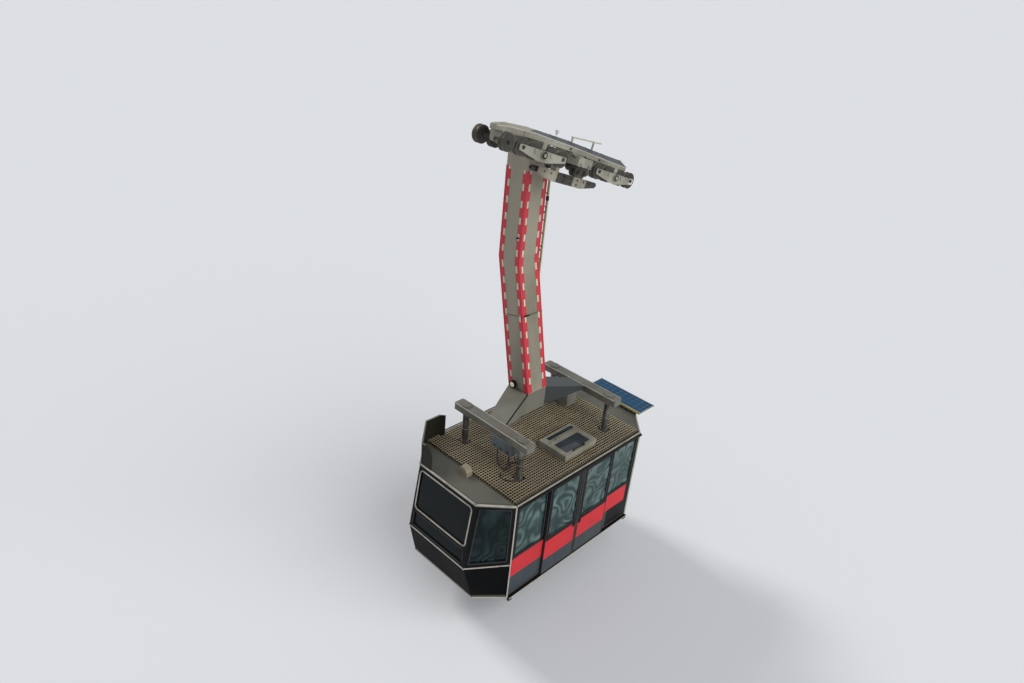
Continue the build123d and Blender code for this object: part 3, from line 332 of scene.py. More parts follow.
def painted_reflection_glass(name, dark, pale, see_through, rings=62):
    """Tinted acrylic pane with a painted reflection in its colour: pale and dark swirls, the contours of a
    soft noise, for the surroundings mirrored in its waves.
    """
    look = Look(name, 0.1, shine=0.25)
    contour = look.math("SINE", look.math("MULTIPLY", look.noise(1.5, 1.2), rings))
    swirl = look.ramp(contour, -1, 1)
    cloud = look.patches(2.1, 0.3, 0.68, 3)
    look.colour(look.math("MULTIPLY", swirl, cloud), dark, pale)
    look.set("Alpha", 1 - see_through)
    return look


def tape(name, colour):
    look = Look(name, 0.5)
    worn = look.patches(12, 0.55, 0.85, 5)
    look.colour(worn, colour, tuple(int(c * 0.8 + 20) for c in colour))
    return look


def solar_look():
    """Blue cells with fine pale lines between them."""
    look = Look("solar_cells", 0.25, shine=0.2)
    lines = None
    for letter, pitch in (("X", 0.14), ("Y", 0.157)):
        share = look.math("FRACT", look.math("DIVIDE", look.axis(letter), pitch))
        line = look.math("LESS_THAN", share, 0.035)
        lines = line if lines is None else look.math("MAXIMUM", lines, line)
    cells = look.mix(look.noise(3), (18, 55, 86), (29, 74, 107))
    look.colour(lines, cells, (96, 128, 144))
    return look


def roof_look():
    """Pale weathered sheet, painted dark brown under the grating as painted shade seen through its holes."""
    look = Look("roof_sheet", 0.6)
    under = look.math("LESS_THAN", look.distance("X"), SIDE_HALF)
    dirt = look.patches(1.0, 0.4, 0.8)
    open_sheet = look.mix(dirt, (88, 88, 80), (62, 60, 52))
    # Under the grating the sheet is painted shade, dark brown with patches.
    shade_under_grating = look.mix(dirt, (44, 37, 28), (28, 23, 17))
    look.colour(under, open_sheet, shade_under_grating)
    look.bump(60)
    return look


def cover_look():
    """Light beige paint at the uphill end, and slate grey sheet from a slanting line on."""
    look = Look("cover_paint", 0.5)
    sweep = look.math("MULTIPLY", look.distance("Y"), COVER_SWEEP)
    dark = look.math("GREATER_THAN", look.math("ADD", look.along_slope(), sweep), COVER_POINT)
    dirt = look.patches(1.8, 0.45, 0.8)
    light = look.mix(dirt, (140, 134, 117), (106, 99, 84))
    sheet = look.mix(dirt, (46, 53, 58), (34, 38, 41))
    look.colour(dark, light, sheet)
    look.bump(50)
    return look


def grating_look():
    """Cream lines along the middle of each bar, with worn patches, and dark brown on the rest of the bars:
    painted shade of the grating's deep holes.
    """
    look = Look("grating_paint", 0.6)
    lines = None
    for letter, shift in (("X", 0.0), ("Y", GRATING_PITCH / 2 - CABIN_Y)):
        shifted = look.math("ADD", look.axis(letter), shift)
        share = look.math("FRACT", look.math("DIVIDE", shifted, GRATING_PITCH))
        off_centre = look.math("ABSOLUTE", look.math("SUBTRACT", share, 0.5))
        line = look.math("LESS_THAN", off_centre, CREAM_LINE_WIDTH / 2 / GRATING_PITCH)
        lines = line if lines is None else look.math("MAXIMUM", lines, line)
    worn = look.patches(1.1, 0.4, 0.8)
    cream = look.mix(worn, (180, 167, 136), (134, 120, 93))
    # Dark brown beside the cream lines is painted shade.
    look.colour(lines, (29, 24, 17), cream)
    return look


def girder_look():
    """Weathered light grey paint, with a cleaner plate across the downhill end."""
    look = Look("girder_paint", 0.5)
    end_plate = look.math("GREATER_THAN", look.along_slope(), GIRDER_LINE[-1][0] - 0.001)
    dirt = look.patches(1.8, 0.38, 0.82, 6, (1, 1, 0.35))
    worn = look.mix(dirt, (152, 150, 137), (96, 92, 78))
    look.colour(end_plate, worn, (204, 198, 182))
    look.grain(14, 0.42, 0.62)
    look.bump(60)
    return look


def clamp_look():
    """Light paint at the uphill end and on a block near the middle, dark rope socket and rest."""
    look = Look("clamp_paint", 0.5)
    along = look.along_slope()
    off_gap = look.math("ABSOLUTE", look.math("SUBTRACT", along, CLAMP_GAP[0]))
    gap = look.math("LESS_THAN", off_gap, CLAMP_GAP[1])
    socket = look.math("LESS_THAN", along, CLAMP_END)
    tail = look.math("MAXIMUM", look.math("GREATER_THAN", along, CLAMP_TAIL), socket)
    dirt = look.patches(3, 0.4, 0.8)
    light = look.mix(dirt, (150, 145, 128), (92, 86, 72))
    dark = look.mix(dirt, (58, 54, 46), (34, 31, 26))
    look.colour(look.math("MAXIMUM", gap, tail), light, dark)
    look.bump(50)
    return look


def cabinet_look():
    """Light grey sides under a dark blue-green top."""
    look = Look("cabinet_paint", 0.45)
    top = look.math("GREATER_THAN", look.axis("Z"), CABINET_TOP - 0.004)
    dirt = look.patches(2.4, 0.45, 0.8)
    side = look.mix(dirt, (118, 118, 110), (86, 84, 76))
    look.colour(top, side, (40, 60, 64))
    return look


def foot_look():
    """The hanger's paint, with the downhill arm painted dark grey as painted shade cast by the column."""
    look = Look("foot_paint", 0.5)
    shaded_far_arm = look.math("GREATER_THAN", look.axis("X"), COLUMN_HALF + 0.002)
    dirt = look.patches(1.3, 0.4, 0.82, 6, (1, 1, 0.35))
    near = look.mix(dirt, (112, 111, 101), (84, 81, 71))
    # Dark grey on the downhill arm is painted shade from the column.
    look.colour(shaded_far_arm, near, (48, 53, 54))
    look.grain(14, 0.42, 0.62)
    return look


def ladder_look():
    """Cream stiles, with dark rungs between them and dark brackets at the column."""
    look = Look("ladder_metal", 0.5)
    rung = look.math("LESS_THAN", look.distance("Y", COLUMN_BEND[1]), STILE_INNER)
    bracket = look.math("LESS_THAN", look.axis("X"), LADDER_BRACKET_X)
    stile = look.mix(look.noise(7), (198, 186, 152), (170, 158, 126))
    look.colour(look.math("MAXIMUM", rung, bracket), stile, (74, 68, 60))
    return look


LOOKS = {
    "shell": paint("shell_black", (14, 15, 17), (34, 33, 31), 0.28, 0.4, 1.2, shine=0.18),
    "apron": paint("apron_black", (11, 12, 13), (27, 26, 24), 0.3, 0.5, 1.2, shine=0.12),
    "wall": livery("wall_livery", WALL_BAND, (-9, WALL_BLACK_X), HALF_WIDTH),
    # The leaves' black edges are partly painted shade of the gap beside them.
    "leaf": livery("leaf_livery", LEAF_BAND, (-LEAF_EDGE_X, LEAF_EDGE_X), HALF_WIDTH + LEAF_OUT),
    # The side and corner panes carry painted reflections as pale swirls.
    "glass": painted_reflection_glass("side_glass", (36, 56, 57), (102, 126, 122), 0.04),
    "corner": painted_reflection_glass("corner_glass", (9, 22, 24), (38, 58, 59), 0.06, 50),
    "screen": glass("screen_glass", (9, 17, 19), 0.1, pale=10, shine=0.22),
    "pane": glass("hatch_pane", (44, 52, 57), 0.06),
    "trim": paint("pale_trim", (176, 172, 160), (120, 114, 100), 0.25, 0.4, 5),
    "gasket": rubber("gasket_rubber"),
    "rail": paint("rail_black", (18, 18, 20), (40, 38, 35), 0.3, 0.5, 3, shine=0.2),
    "roof": roof_look(),
    "floor": paint("floor_plate", (62, 61, 58), (44, 42, 38), 0.4, 0.6),
    "grating": grating_look(),
    "hatch": paint("hatch_paint", (146, 144, 130), (98, 94, 78), 0.45, 0.5, 2.4),
    "cabinet": cabinet_look(),
    "vent": paint("vent_paint", (140, 128, 108), (98, 88, 72), 0.35, 0.5, 2.4),
    "guard": paint("guard_paint", (40, 39, 33), (28, 27, 22), 0.45, 0.5, 1.4, shine=0.2),
    "post": metal("post_steel", (132, 130, 124), 0.32, (44, 38, 32), 0.55, 4),
    "beam": paint("beam_paint", (102, 101, 92), (70, 67, 58), 0.45, 0.5, 1.8),
    "box": paint("box_paint", (94, 104, 109), (64, 69, 70), 0.35, 0.45, 2.5),
    "hanger": paint("hanger_paint", (144, 137, 120), (102, 96, 80), 0.42, 0.5, 1.3),
    "girder": girder_look(),
    "cover": cover_look(),
    "machinery": paint("dark_machinery", (62, 59, 52), (36, 33, 28), 0.5, 0.5, 3),
    "slate": paint("slate_sheet", (46, 53, 58), (34, 38, 41), 0.5, 0.5, 1.8),
    "clamp": clamp_look(),
    "foot": foot_look(),
    "wheel": metal("wheel_iron", (92, 88, 80), 0.45, (46, 42, 36), 0.6, 5),
    "steel": metal("plain_steel", (150, 149, 146), 0.35),
    "dark_steel": metal("dark_steel", (74, 72, 68), 0.45),
    "ladder": ladder_look(),
    "lens": glass("lamp_lens", (244, 236, 204), 0.0, 0.15, pale=8),
    "lamp": glass("clear_lamp", (230, 229, 222), 0.0, 0.12, pale=6),
    "solar": solar_look(),
    "yellow": paint("yellow_edge", (176, 158, 84), (112, 100, 60), 0.3),
    "hose": rubber("hose_rubber", (20, 20, 22)),
    "tape_red": tape("tape_red", (184, 36, 50)),
    "tape_white": tape("tape_white", (200, 192, 172)),
    "desk": paint("desk_plastic", (52, 54, 57), (40, 40, 40), 0.2, 0.6),
    "stainless": metal("stainless", (168, 168, 166), 0.25, (120, 120, 118), 0.1),
    "ceiling_lamp": glass("ceiling_lamp", (222, 222, 214), 0.1, 0.3),
}

NODE_LOOKS = {
    "end_upper": "shell", "end_lower": "apron", "end_glass": "screen", "corner_glass": "corner",
    "side_wall": "wall", "side_glass": "glass", "door_leaf": "leaf", "door_glass": "glass",
    "door_rails": "rail", "roof": "roof", "roof_grating": "grating", "roof_guard": "guard",
    "roof_cabinet": "cabinet", "roof_vent": "vent", "floor": "floor", "hatch_curb": "hatch",
    "hatch_lid": "hatch", "hatch_glass": "pane", "solar_panel": "solar", "damper_posts": "post",
    "crossbeams": "beam", "beam_equipment_box": "box", "hanger_foot": "foot",
    "hanger_column": "hanger", "hanger_head": "hanger", "hanger_ladder": "ladder",
    "column_lamp": "rail", "carriage_lamp": "lamp", "carriage_girder": "girder",
    "girder_cover": "cover", "service_rail": "trim", "rocker": "girder", "wheelset": "wheel",
    "rope_brakes": "machinery", "haul_rope_clamp": "clamp", "grab_rails": "stainless",
    "control_desk": "desk",
}


def dress_nodes():
    """Each node takes the look whose key is the longest start of its name."""
    for name, node in nodes.items():
        key = max((k for k in NODE_LOOKS if name.startswith(k)), key=len)
        node.data.materials.clear()
        node.data.materials.append(LOOKS[NODE_LOOKS[key]].material)


# Shapes
def add_object(name, data):
    """A new object in the scene."""
    made = bpy.data.objects.new(name, data)
    bpy.context.scene.collection.objects.link(made)
    return made


class Piece:
    """A named mesh gathered from bars and rods, with its look and the body that it rides."""

    started = []

    def __init__(self, name, look, body="cabin"):
        self.name, self.look, self.body = name, look, body
        self.shape = bmesh.new()
        self.started.append(self)

    def bar(self, start, end, width, height, up=(0, 0, 1)):
        """Square-edged bar between two points, its height measured along up."""
        start, end = Vector(start), Vector(end)
        along = (end - start).normalized()
        across = Vector(up).cross(along).normalized()
        turn = Matrix((along, across, along.cross(across))).transposed().to_4x4()
        size = Matrix.Diagonal(((end - start).length, width, height, 1))
        spot = Matrix.Translation((start + end) / 2) @ turn @ size
        made = bmesh.ops.create_cube(self.shape, size=1)["verts"]
        bmesh.ops.transform(self.shape, matrix=spot, verts=made)

    def disc(self, centre, outward, near, far, radius, sides=20, end_radius=None):
        """Round boss on a face, from near to far along the outward direction."""
        centre, outward = Vector(centre), Vector(outward)
        run = outward * (far - near)
        spot = Matrix.Translation(centre + outward * (near + far) / 2)
        spot = spot @ run.to_track_quat("Z", "Y").to_matrix().to_4x4()
        made = bmesh.ops.create_cone(
            self.shape, cap_ends=True, segments=sides, radius1=radius, radius2=end_radius or radius,
            depth=run.length,
        )["verts"]
        bmesh.ops.transform(self.shape, matrix=spot, verts=made)

    def bolt(self, centre, outward, size=0.014):
        """Washer and hexagon head that stand off a face."""
        self.disc(centre, outward, -0.002, 0.003, size * 1.35, 16)
        self.disc(centre, outward, 0, size * 0.9, size, 6)

    def path(self, points, width, height, up=(0, 0, 1)):
        """Bars from point to point, each lengthened a little so that the corners close."""
        for start, end in zip(points, points[1:]):
            start, end = Vector(start), Vector(end)
            lap = (end - start).normalized() * (height / 2)
            self.bar(start - lap, end + lap, width, height, up)

    def finish(self):
        """Make an object of the gathered shape."""
        mesh = bpy.data.meshes.new(self.name)
        self.shape.to_mesh(mesh)
        self.shape.free()
        mesh.materials.append(LOOKS[self.look].material)
        mesh.polygons.foreach_set("use_smooth", [True] * len(mesh.polygons))
        mesh.set_sharp_from_angle(angle=math.radians(35))
        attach(add_object(self.name, mesh), self.body)


def hose(name, runs, radius, body="cabin"):
    """Round hoses, each a smooth curve through its own points."""
    data = bpy.data.curves.new(name, "CURVE")
    data.dimensions = "3D"
    data.bevel_depth = radius
    data.bevel_resolution = 2
    data.resolution_u = 6
    data.use_fill_caps = True
    for points in runs:
        spline = data.splines.new("NURBS")
        spline.points.add(len(points) - 1)
        for control, point in zip(spline.points, points):
            control.co = (*point, 1)
        spline.order_u = min(4, len(points))
        spline.use_endpoint_u = True
    data.materials.append(LOOKS["hose"].material)
    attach(add_object(name, data), body)


def circle(centre, radius, count, first, second, start=0):
    """Evenly spaced points round a centre, in the plane of two directions."""
    centre, first, second = Vector(centre), Vector(first) * radius, Vector(second) * radius
    turns = [math.radians(start + 360 * step / count) for step in range(count)]
    return [centre + first * math.cos(turn) + second * math.sin(turn) for turn in turns]


def end_corner(level, end, side):
    """Corner between an end face and a chamfer."""
    z, reach, half = level
    return Vector((end * (SIDE_HALF + reach), CABIN_Y + side * half, z))


def side_corner(level, end, side, out=0.0):
    """Corner between a side wall and a chamfer, moved outwards by out."""
    return Vector((end * (SIDE_HALF + out * 0.5), CABIN_Y + side * (HALF_WIDTH + out), level[0]))


def end_run(level, end):
    """Four corners round one end at a level, from the left side to the right."""
    return [side_corner(level, end, 1), end_corner(level, end, 1),
            end_corner(level, end, -1), side_corner(level, end, -1)]


def carriage(along, up, y=0.0):
    """A point given along and square to the ropes."""
    x = along * math.cos(SLOPE) + up * math.sin(SLOPE)
    z = up * math.cos(SLOPE) - along * math.sin(SLOPE)
    return Vector((x, y, z))


ROPE_UP = carriage(0, 1)
ROPE_ALONG = carriage(1, 0)


def girder_heights(along):
    """Underside, top and ridge of the girder at a place along it."""
    for low, high in zip(GIRDER_LINE, GIRDER_LINE[1:]):
        if low[0] <= along <= high[0]:
            share = (along - low[0]) / (high[0] - low[0])
            return [a + share * (b - a) for a, b in zip(low[1:], high[1:])]
    raise ValueError("beyond the girder")


def beam_half(along, up):
    """Half width of the girder, which narrows to a nose at its uphill end."""
    nose = GIRDER_LINE[0][0] * math.cos(SLOPE)
    past = carriage(along, up).x - nose
    widening = (GIRDER_HALF + NOSE_FLARE - NOSE_HALF) / (NOSE_LENGTH * math.cos(SLOPE))
    return min(GIRDER_HALF, NOSE_HALF + past * widening)


# Cabin
def cabin_trim():
    """Pale strips along the roof edge, the belt, the sill and the corners, and shoes under the sill."""
    edge = Piece("roof_edge_trim", "trim")
    level = (ROOF_Z - 0.012,) + ROOF_LEVEL[1:]
    rim = end_run(level, 1) + end_run(level, -1)[::-1]
    edge.path(rim + rim[:1], TRIM, TRIM)
    for end_name, end in ENDS.items():
        belt = Piece(f"belt_trim_{end_name}", "trim")
        belt.path(end_run(BELT_LEVEL, end), 0.02, TRIM)
    sill = Piece("sill_trim", "trim")
    low_level = (SILL_Z + 0.014,) + SILL_LEVEL[1:]
    for end in ENDS.values():
        sill.path(end_run(low_level, end), TRIM, TRIM)
    shoes = Piece("sill_shoes", "rail")
    for side in SIDES.values():
        y = CABIN_Y + side * (HALF_WIDTH + RAIL_OUT)
        sill.bar((-SIDE_HALF, y, SILL_Z + 0.012), (SIDE_HALF, y, SILL_Z + 0.012), 0.01, TRIM)
        y = CABIN_Y + side * (HALF_WIDTH + 0.03)
        for x in (0.05 - SIDE_HALF, SIDE_HALF - 0.05):
            shoes.bar((x, y, SILL_Z - 0.06), (x, y, SILL_Z - 0.001), 0.05, 0.1, (1, 0, 0))
    corners = Piece("corner_trim", "trim")
    for end, side in CORNERS:
        top = side_corner(ROOF_LEVEL, end, side, 0.004) - Vector((0, 0, 0.02))
        low = side_corner(SILL_LEVEL, end, side, 0.004) + Vector((0, 0, 0.02))
        corners.bar(low, top, TRIM, TRIM, (end, side, 0))


def screen_plane(end):
    """Origin at the roof edge, across and down directions and outward normal of a windscreen."""
    origin = Vector((end * (SIDE_HALF + ROOF_LEVEL[1]), CABIN_Y, ROOF_Z))
    down = Vector((end * (BELT_LEVEL[1] - ROOF_LEVEL[1]), 0, BELT_LEVEL[0] - ROOF_Z)).normalized()
    across = Vector((0, end, 0))
    return origin, across, down, down.cross(across)


def rounded_loop(half_width, top, bottom, radius, steps=6):
    """Points of a rounded rectangle as (across, down) pairs, closed."""
    points = []
    centres = ((half_width - radius, top + radius, -90), (half_width - radius, bottom - radius, 0),
               (radius - half_width, bottom - radius, 90), (radius - half_width, top + radius, 180))
    for across, down, start in centres:
        for step in range(steps + 1):
            turn = math.radians(start + 90 * step / steps)
            points.append((across + radius * math.cos(turn), down + radius * math.sin(turn)))
    return points + points[:1]


def screen_frames():
    """A pale line round each windscreen and a rubber line round the pane below it."""
    for end_name, end in ENDS.items():
        origin, across, down, normal = screen_plane(end)
        for name, line, lift, width, depth, look in (
            ("screen_trim", SCREEN_LINE, 0.003, 0.026, 0.016, "trim"),
            ("low_pane_gasket", LOW_PANE_LINE, 0.002, 0.018, 0.012, "gasket"),
        ):
            outline = Piece(f"{name}_{end_name}", look)
            loop = [origin + across * a + down * d + normal * lift for a, d in rounded_loop(*line)]
            outline.path(loop, width, depth, normal)


def window_gaskets():
    """Rubber round the side windows and door windows."""
    bottom, top = WINDOW_HEIGHTS
    for side_name, side in SIDES.items():
        for end_name, end in ENDS.items():
            spots = (("side", SIDE_WINDOW, 0.0, "cabin"),
                     ("door", DOOR_WINDOW, LEAF_OUT, f"door_{side_name}_{end_name}"))
            for kind, (near, far), out, body in spots:
                loop = rounded_loop((far - near) / 2, -top, -bottom, WINDOW_RADIUS)
                middle = end * (near + far) / 2
                y = CABIN_Y + side * (HALF_WIDTH + out + 0.001)
                gasket = Piece(f"{kind}_gasket_{side_name}_{end_name}", "gasket", body)
                gasket.path([Vector((middle + a, y, -d)) for a, d in loop], 0.022, 0.006, (0, 1, 0))


def corner_gaskets():
    """Rubber round the chamfered corner windows."""
    for end_name, end in ENDS.items():
        gasket = Piece(f"corner_gasket_{end_name}", "gasket")
        for side in SIDES.values():
            top, low = [(side_corner(level, end, side), end_corner(level, end, side))
                        for level in (ROOF_LEVEL, BELT_LEVEL)]
            normal = (top[1] - top[0]).cross(low[0] - top[0]).normalized()
            if normal.x * end < 0:
                normal = -normal
            ring = []
            for (near, far), rise in ((top, -CORNER_DROP), (low[::-1], CORNER_DROP)):
                run = (far - near).normalized()
                for point in (near + run * CORNER_MARGIN, far - run * CORNER_MARGIN):
                    ring.append(point + Vector((0, 0, rise)) + normal * 0.002)
            gasket.path(ring + ring[:1], 0.022, 0.008, normal)


def door_fittings():
    """Rubbers and a steel strip down the edges of the leaves, and their grips."""
    bottom, top = LEAF_HEIGHTS
    grip_x, grip_z = GRIP_PLACE
    fittings = {
        "meeting_seal": ("gasket", (LEAF_EDGES[0], bottom, top, 0.022, 0.008),
                         (LEAF_EDGES[1], bottom, top, 0.016, 0.008)),
        "leaf_edge": ("dark_steel", (0.045, bottom, top, 0.018, 0.004)),
        "door_grip": ("rail", (grip_x, grip_z - 0.05, grip_z + 0.05, 0.09, 0.008),
                      (grip_x, grip_z - 0.03, grip_z + 0.03, 0.02, 0.02)),
    }
    for side_name, side in SIDES.items():
        face = CABIN_Y + side * (HALF_WIDTH + LEAF_OUT)
        for end_name, end in ENDS.items():
            for name, (look, *bars) in fittings.items():
                piece = Piece(f"{name}_{side_name}_{end_name}", look, f"door_{side_name}_{end_name}")
                for x, low, high, width, depth in bars:
                    piece.bar((end * x, face, low), (end * x, face, high), width, depth, (0, 1, 0))


def ceiling_lamps():
    """A lamp strip along each side of the ceiling."""
    lamps = Piece("ceiling_lamps", "ceiling_lamp")
    for side in SIDES.values():
        y = CABIN_Y + side * 0.95
        lamps.bar((-1.7, y, ROOF_Z - 0.075), (1.7, y, ROOF_Z - 0.075), 0.12, 0.03)


# Roof
def roof_fittings():
    """Fixing bars under the grating's edge, lid bar, handle and hinges, and the solar panel's rim."""
    bars = Piece("grating_edge_bars", "grating")
    z = ROOF_Z + 0.013
    for x in (-GRATING_HALF[0], GRATING_HALF[0]):
        bars.bar((x, CABIN_Y - GRATING_HALF[1], z), (x, CABIN_Y + GRATING_HALF[1], z), 0.012, 0.026)
    lid = Piece("lid_fittings", "hatch", "hatch")
    start, end = [(x, LID_BAR_Y, LID_TOP + 0.008) for x in LID_BAR_X]
    lid.bar(start, end, 0.05, 0.016)
    lid.disc((0.02, LID_BAR_Y, LID_TOP), (0, 0, 1), 0.01, 0.05, 0.022)
    handle = Piece("lid_handle", "rail", "hatch")
    start, end = [(x, LID_RIM_Y, LID_TOP + 0.035) for x in LID_HANDLE_X]
    handle.bar(start, end, 0.024, 0.012)
    for x in (LID_HANDLE_X[0] + 0.02, LID_HANDLE_X[1] - 0.02):
        handle.bar((x, LID_RIM_Y, LID_TOP - 0.002), (x, LID_RIM_Y, LID_TOP + 0.035), 0.02, 0.02, (1, 0, 0))
    hinges = Piece("lid_hinges", "dark_steel")
    for x in LID_HINGE_X:
        hinges.disc((x, LID_HINGE_Y, ROOF_Z + 0.14), (1, 0, 0), -0.05, 0.05, 0.009)
    (low_x, high_x), (low_y, high_y) = PANEL_X, PANEL_Y
    panel = Piece("panel_edges", "steel")
    ring = ((low_x, high_y), (high_x, high_y), (high_x, low_y), (low_x, low_y))
    panel.path([(x, y, PANEL_Z) for x, y in ring], 0.012, 0.036)
    strip = Piece("panel_near_bar", "yellow")
    strip.bar((low_x, low_y, PANEL_Z), (low_x, high_y, PANEL_Z), 0.03, 0.045)


def roof_seams():
    """Low ribs beside the chamfered and the end edges of the roof, and the top edge of the guard."""
    seams = Piece("roof_seams", "roof")
    z = ROOF_Z + 0.004
    for end in ENDS.values():
        for side in SIDES.values():
            inward = Vector((-end * 0.03, -side * 0.045, z - ROOF_Z))
            start = side_corner(ROOF_LEVEL, end, side) + inward
            seams.bar(start, end_corner(ROOF_LEVEL, end, side) + inward, 0.012, 0.01)
        x = end * (SIDE_HALF + ROOF_LEVEL[1] - 0.045)
        seams.bar((x, CABIN_Y - 0.8, z), (x, CABIN_Y + 0.8, z), 0.012, 0.01)
    guard = Piece("guard_edge", "beam")
    guard.path([(x, CABIN_Y + y, GUARD_TOP) for x, y in GUARD_LINE], 0.03, 0.012)


def post_fittings():
    """Rings round the dampers, and the rims and bolts of the caps over them."""
    upward = (0, 0, 1)
    rings = Piece("damper_rings", "steel")
    bolts = Piece("cap_bolts", "steel")
    rims = Piece("cap_rims", "beam")
    for end, side in CORNERS:
        x, y = end * BEAM_X, CABIN_Y + side * POST_Y
        foot, top = (x, y, ROOF_Z), (x, y, BEAM_TOP)
        rings.disc(foot, upward, 0.02, 0.075, 0.082)
        rings.disc(top, upward, -0.2, -0.15, 0.084)
        rings.disc(foot, upward, 0.36, 0.385, 0.078)
        rims.disc(top, upward, 0.0245, 0.029, 0.098, 36)
        for spot in circle((x, y, BEAM_TOP + 0.029), 0.075, 6, (1, 0, 0), (0, 1, 0), 30):
            bolts.bolt(spot, upward, 0.012)


def beam_fittings():
    """Pale strips on the upper edges of the crossbeams as painted highlights, their web stiffeners, and the
    bolts and seams of the foot.
    """
    edges = Piece("beam_edge_highlights", "trim")
    ribs = Piece("beam_ribs", "beam")
    bolts = Piece("foot_bolts", "steel")
    seam = Piece("foot_seams", "rail")
    for end in ENDS.values():
        for across in (-1, 1):
            # Pale edge strips are painted highlights on the flange edges.
            x = end * BEAM_X + across * (BEAM_HALF_WIDTH - 0.004)
            edges.bar((x, CABIN_Y - 1.03, BEAM_TOP), (x, CABIN_Y + 1.03, BEAM_TOP), 0.014, 0.008)
            x = end * BEAM_X + across * (BEAM_HALF_WIDTH + 0.003)
            for y in (CABIN_Y - 0.62, CABIN_Y - 0.36, CABIN_Y + 0.36, CABIN_Y + 0.62):
                ribs.bar((x, y, BEAM_TOP - 0.14), (x, y, BEAM_TOP - 0.01), 0.01, 0.012, (1, 0, 0))
        for dy in (-0.17, -0.06, 0.06, 0.17):
            bolts.bolt((end * (BEAM_X - 0.06), FOOT_Y + dy, BEAM_TOP), (0, 0, 1), 0.014)
        x, z = end * (COLUMN_HALF + 0.002), COLUMN_LOW[0] - 0.002
        seam.bar((x, COLUMN_LOW[1] - COLUMN_HALF, z), (x, COLUMN_LOW[1] + COLUMN_HALF, z), 0.01, 0.014)
    slope_top = (-COLUMN_HALF, COLUMN_LOW[1] - COLUMN_HALF, COLUMN_LOW[0])
    slope_low = (-BEAM_X + BEAM_HALF_WIDTH + 0.01, FOOT_Y - FOOT_HALF, BEAM_TOP)
    seam.bar(slope_top, slope_low, 0.02, 0.02)


def roof_hoses():
    """Air hoses from the box under the uphill beam down to the roof, and the clips of the box's lid."""
    box_x, box_y = -BEAM_X, CABIN_Y - 0.37
    lie = GRATING_TOP + 0.014
    offsets = (
        ((0.0, -0.10, BOX_UNDER + 0.01), (0.02, -0.12, BOX_UNDER - 0.16), (-0.06, -0.2, lie + 0.1),
         (-0.20, -0.10, lie), (-0.34, -0.24, lie), (-0.24, -0.46, lie), (-0.02, -0.58, lie + 0.01),
         (0.02, 0.46 - POST_Y, lie + 0.05)),
        ((0.06, -0.18, BOX_UNDER + 0.01), (0.08, -0.2, BOX_UNDER - 0.14), (0.10, -0.3, lie + 0.06),
         (0.24, -0.34, lie), (0.34, -0.2, lie), (0.26, -0.02, lie), (0.12, 0.02, lie)),
        ((-0.08, 0.12, BOX_UNDER + 0.01), (-0.1, 0.12, BOX_UNDER - 0.2), (-0.12, 0.06, lie + 0.1),
         (-0.1, -0.08, lie), (0.06, -0.16, lie), (0.18, -0.04, lie)),
    )
    hose("damper_hoses", [[(box_x + dx, box_y + dy, z) for dx, dy, z in run] for run in offsets], 0.014)
    glands = Piece("hose_glands", "dark_steel")
    for (dx, dy, _), *_ in offsets:
        glands.disc((box_x + dx, box_y + dy, BOX_UNDER), (0, 0, 1), 0.002, -0.04, 0.022, 6)
    clips = Piece("box_lid_clips", "dark_steel")
    x = box_x - 0.131
    for y in (box_y - 0.18, box_y, box_y + 0.18):
        clips.bar((x, y, BOX_UNDER + 0.05), (x, y, BOX_UNDER + 0.11), 0.03, 0.01, (1, 0, 0))


# Hanger
def column_y(z):
    """Place across of the column's middle at a height."""
    if z >= COLUMN_BEND[0]:
        return COLUMN_BEND[1]
    share = (z - COLUMN_LOW[0]) / (COLUMN_BEND[0] - COLUMN_LOW[0])
    return COLUMN_LOW[1] + share * (COLUMN_BEND[1] - COLUMN_LOW[1])


def column_tape():
    """Red and white warning tape beside each corner of the column, red throughout next to it."""
    white = Piece("tape_white", "tape_white")
    red = Piece("tape_red", "tape_red")
    levels = [COLUMN_LOW[0] + 0.01, COLUMN_BEND[0], COLUMN_TOP - 0.02]
    lengths = list(zip(levels, levels[1:]))
    blocks = []
    for step in range(int((levels[2] - levels[0]) / TAPE_PERIOD) + 1):
        low = levels[0] + step * TAPE_PERIOD
        high = min(low + TAPE_PERIOD * RED_SHARE, levels[2])
        stops = [low, COLUMN_BEND[0], high] if low < COLUMN_BEND[0] < high else [low, high]
        blocks += zip(stops, stops[1:])

    def strip(piece, low, high, dx, dy, width, depth, normal):
        """One length that follows the column, at an offset from its middle."""
        piece.bar((dx, column_y(low) + dy, low), (dx, column_y(high) + dy, high), width, depth, normal)

    for sx, sy in CORNERS:
        for piece, spans, lift, width in (
            (white, lengths, 0.001, WHITE_WIDTH),
            (red, lengths, 0.0018, RED_STRIP),
            (red, blocks, 0.0025, BLOCK_WIDTH),
        ):
            beside, over = COLUMN_HALF - width / 2, COLUMN_HALF + lift
            for low, high in spans:
                strip(piece, low, high, sx * over, sy * beside, width, 0.002, (sx, 0, 0))
                strip(piece, low, high, sx * beside, sy * over, width, 0.002, (0, sy, 0))
        for low, high in lengths:
            strip(red, low, high, sx * COLUMN_HALF, sy * COLUMN_HALF, 0.014, 0.014, (1, 0, 0))


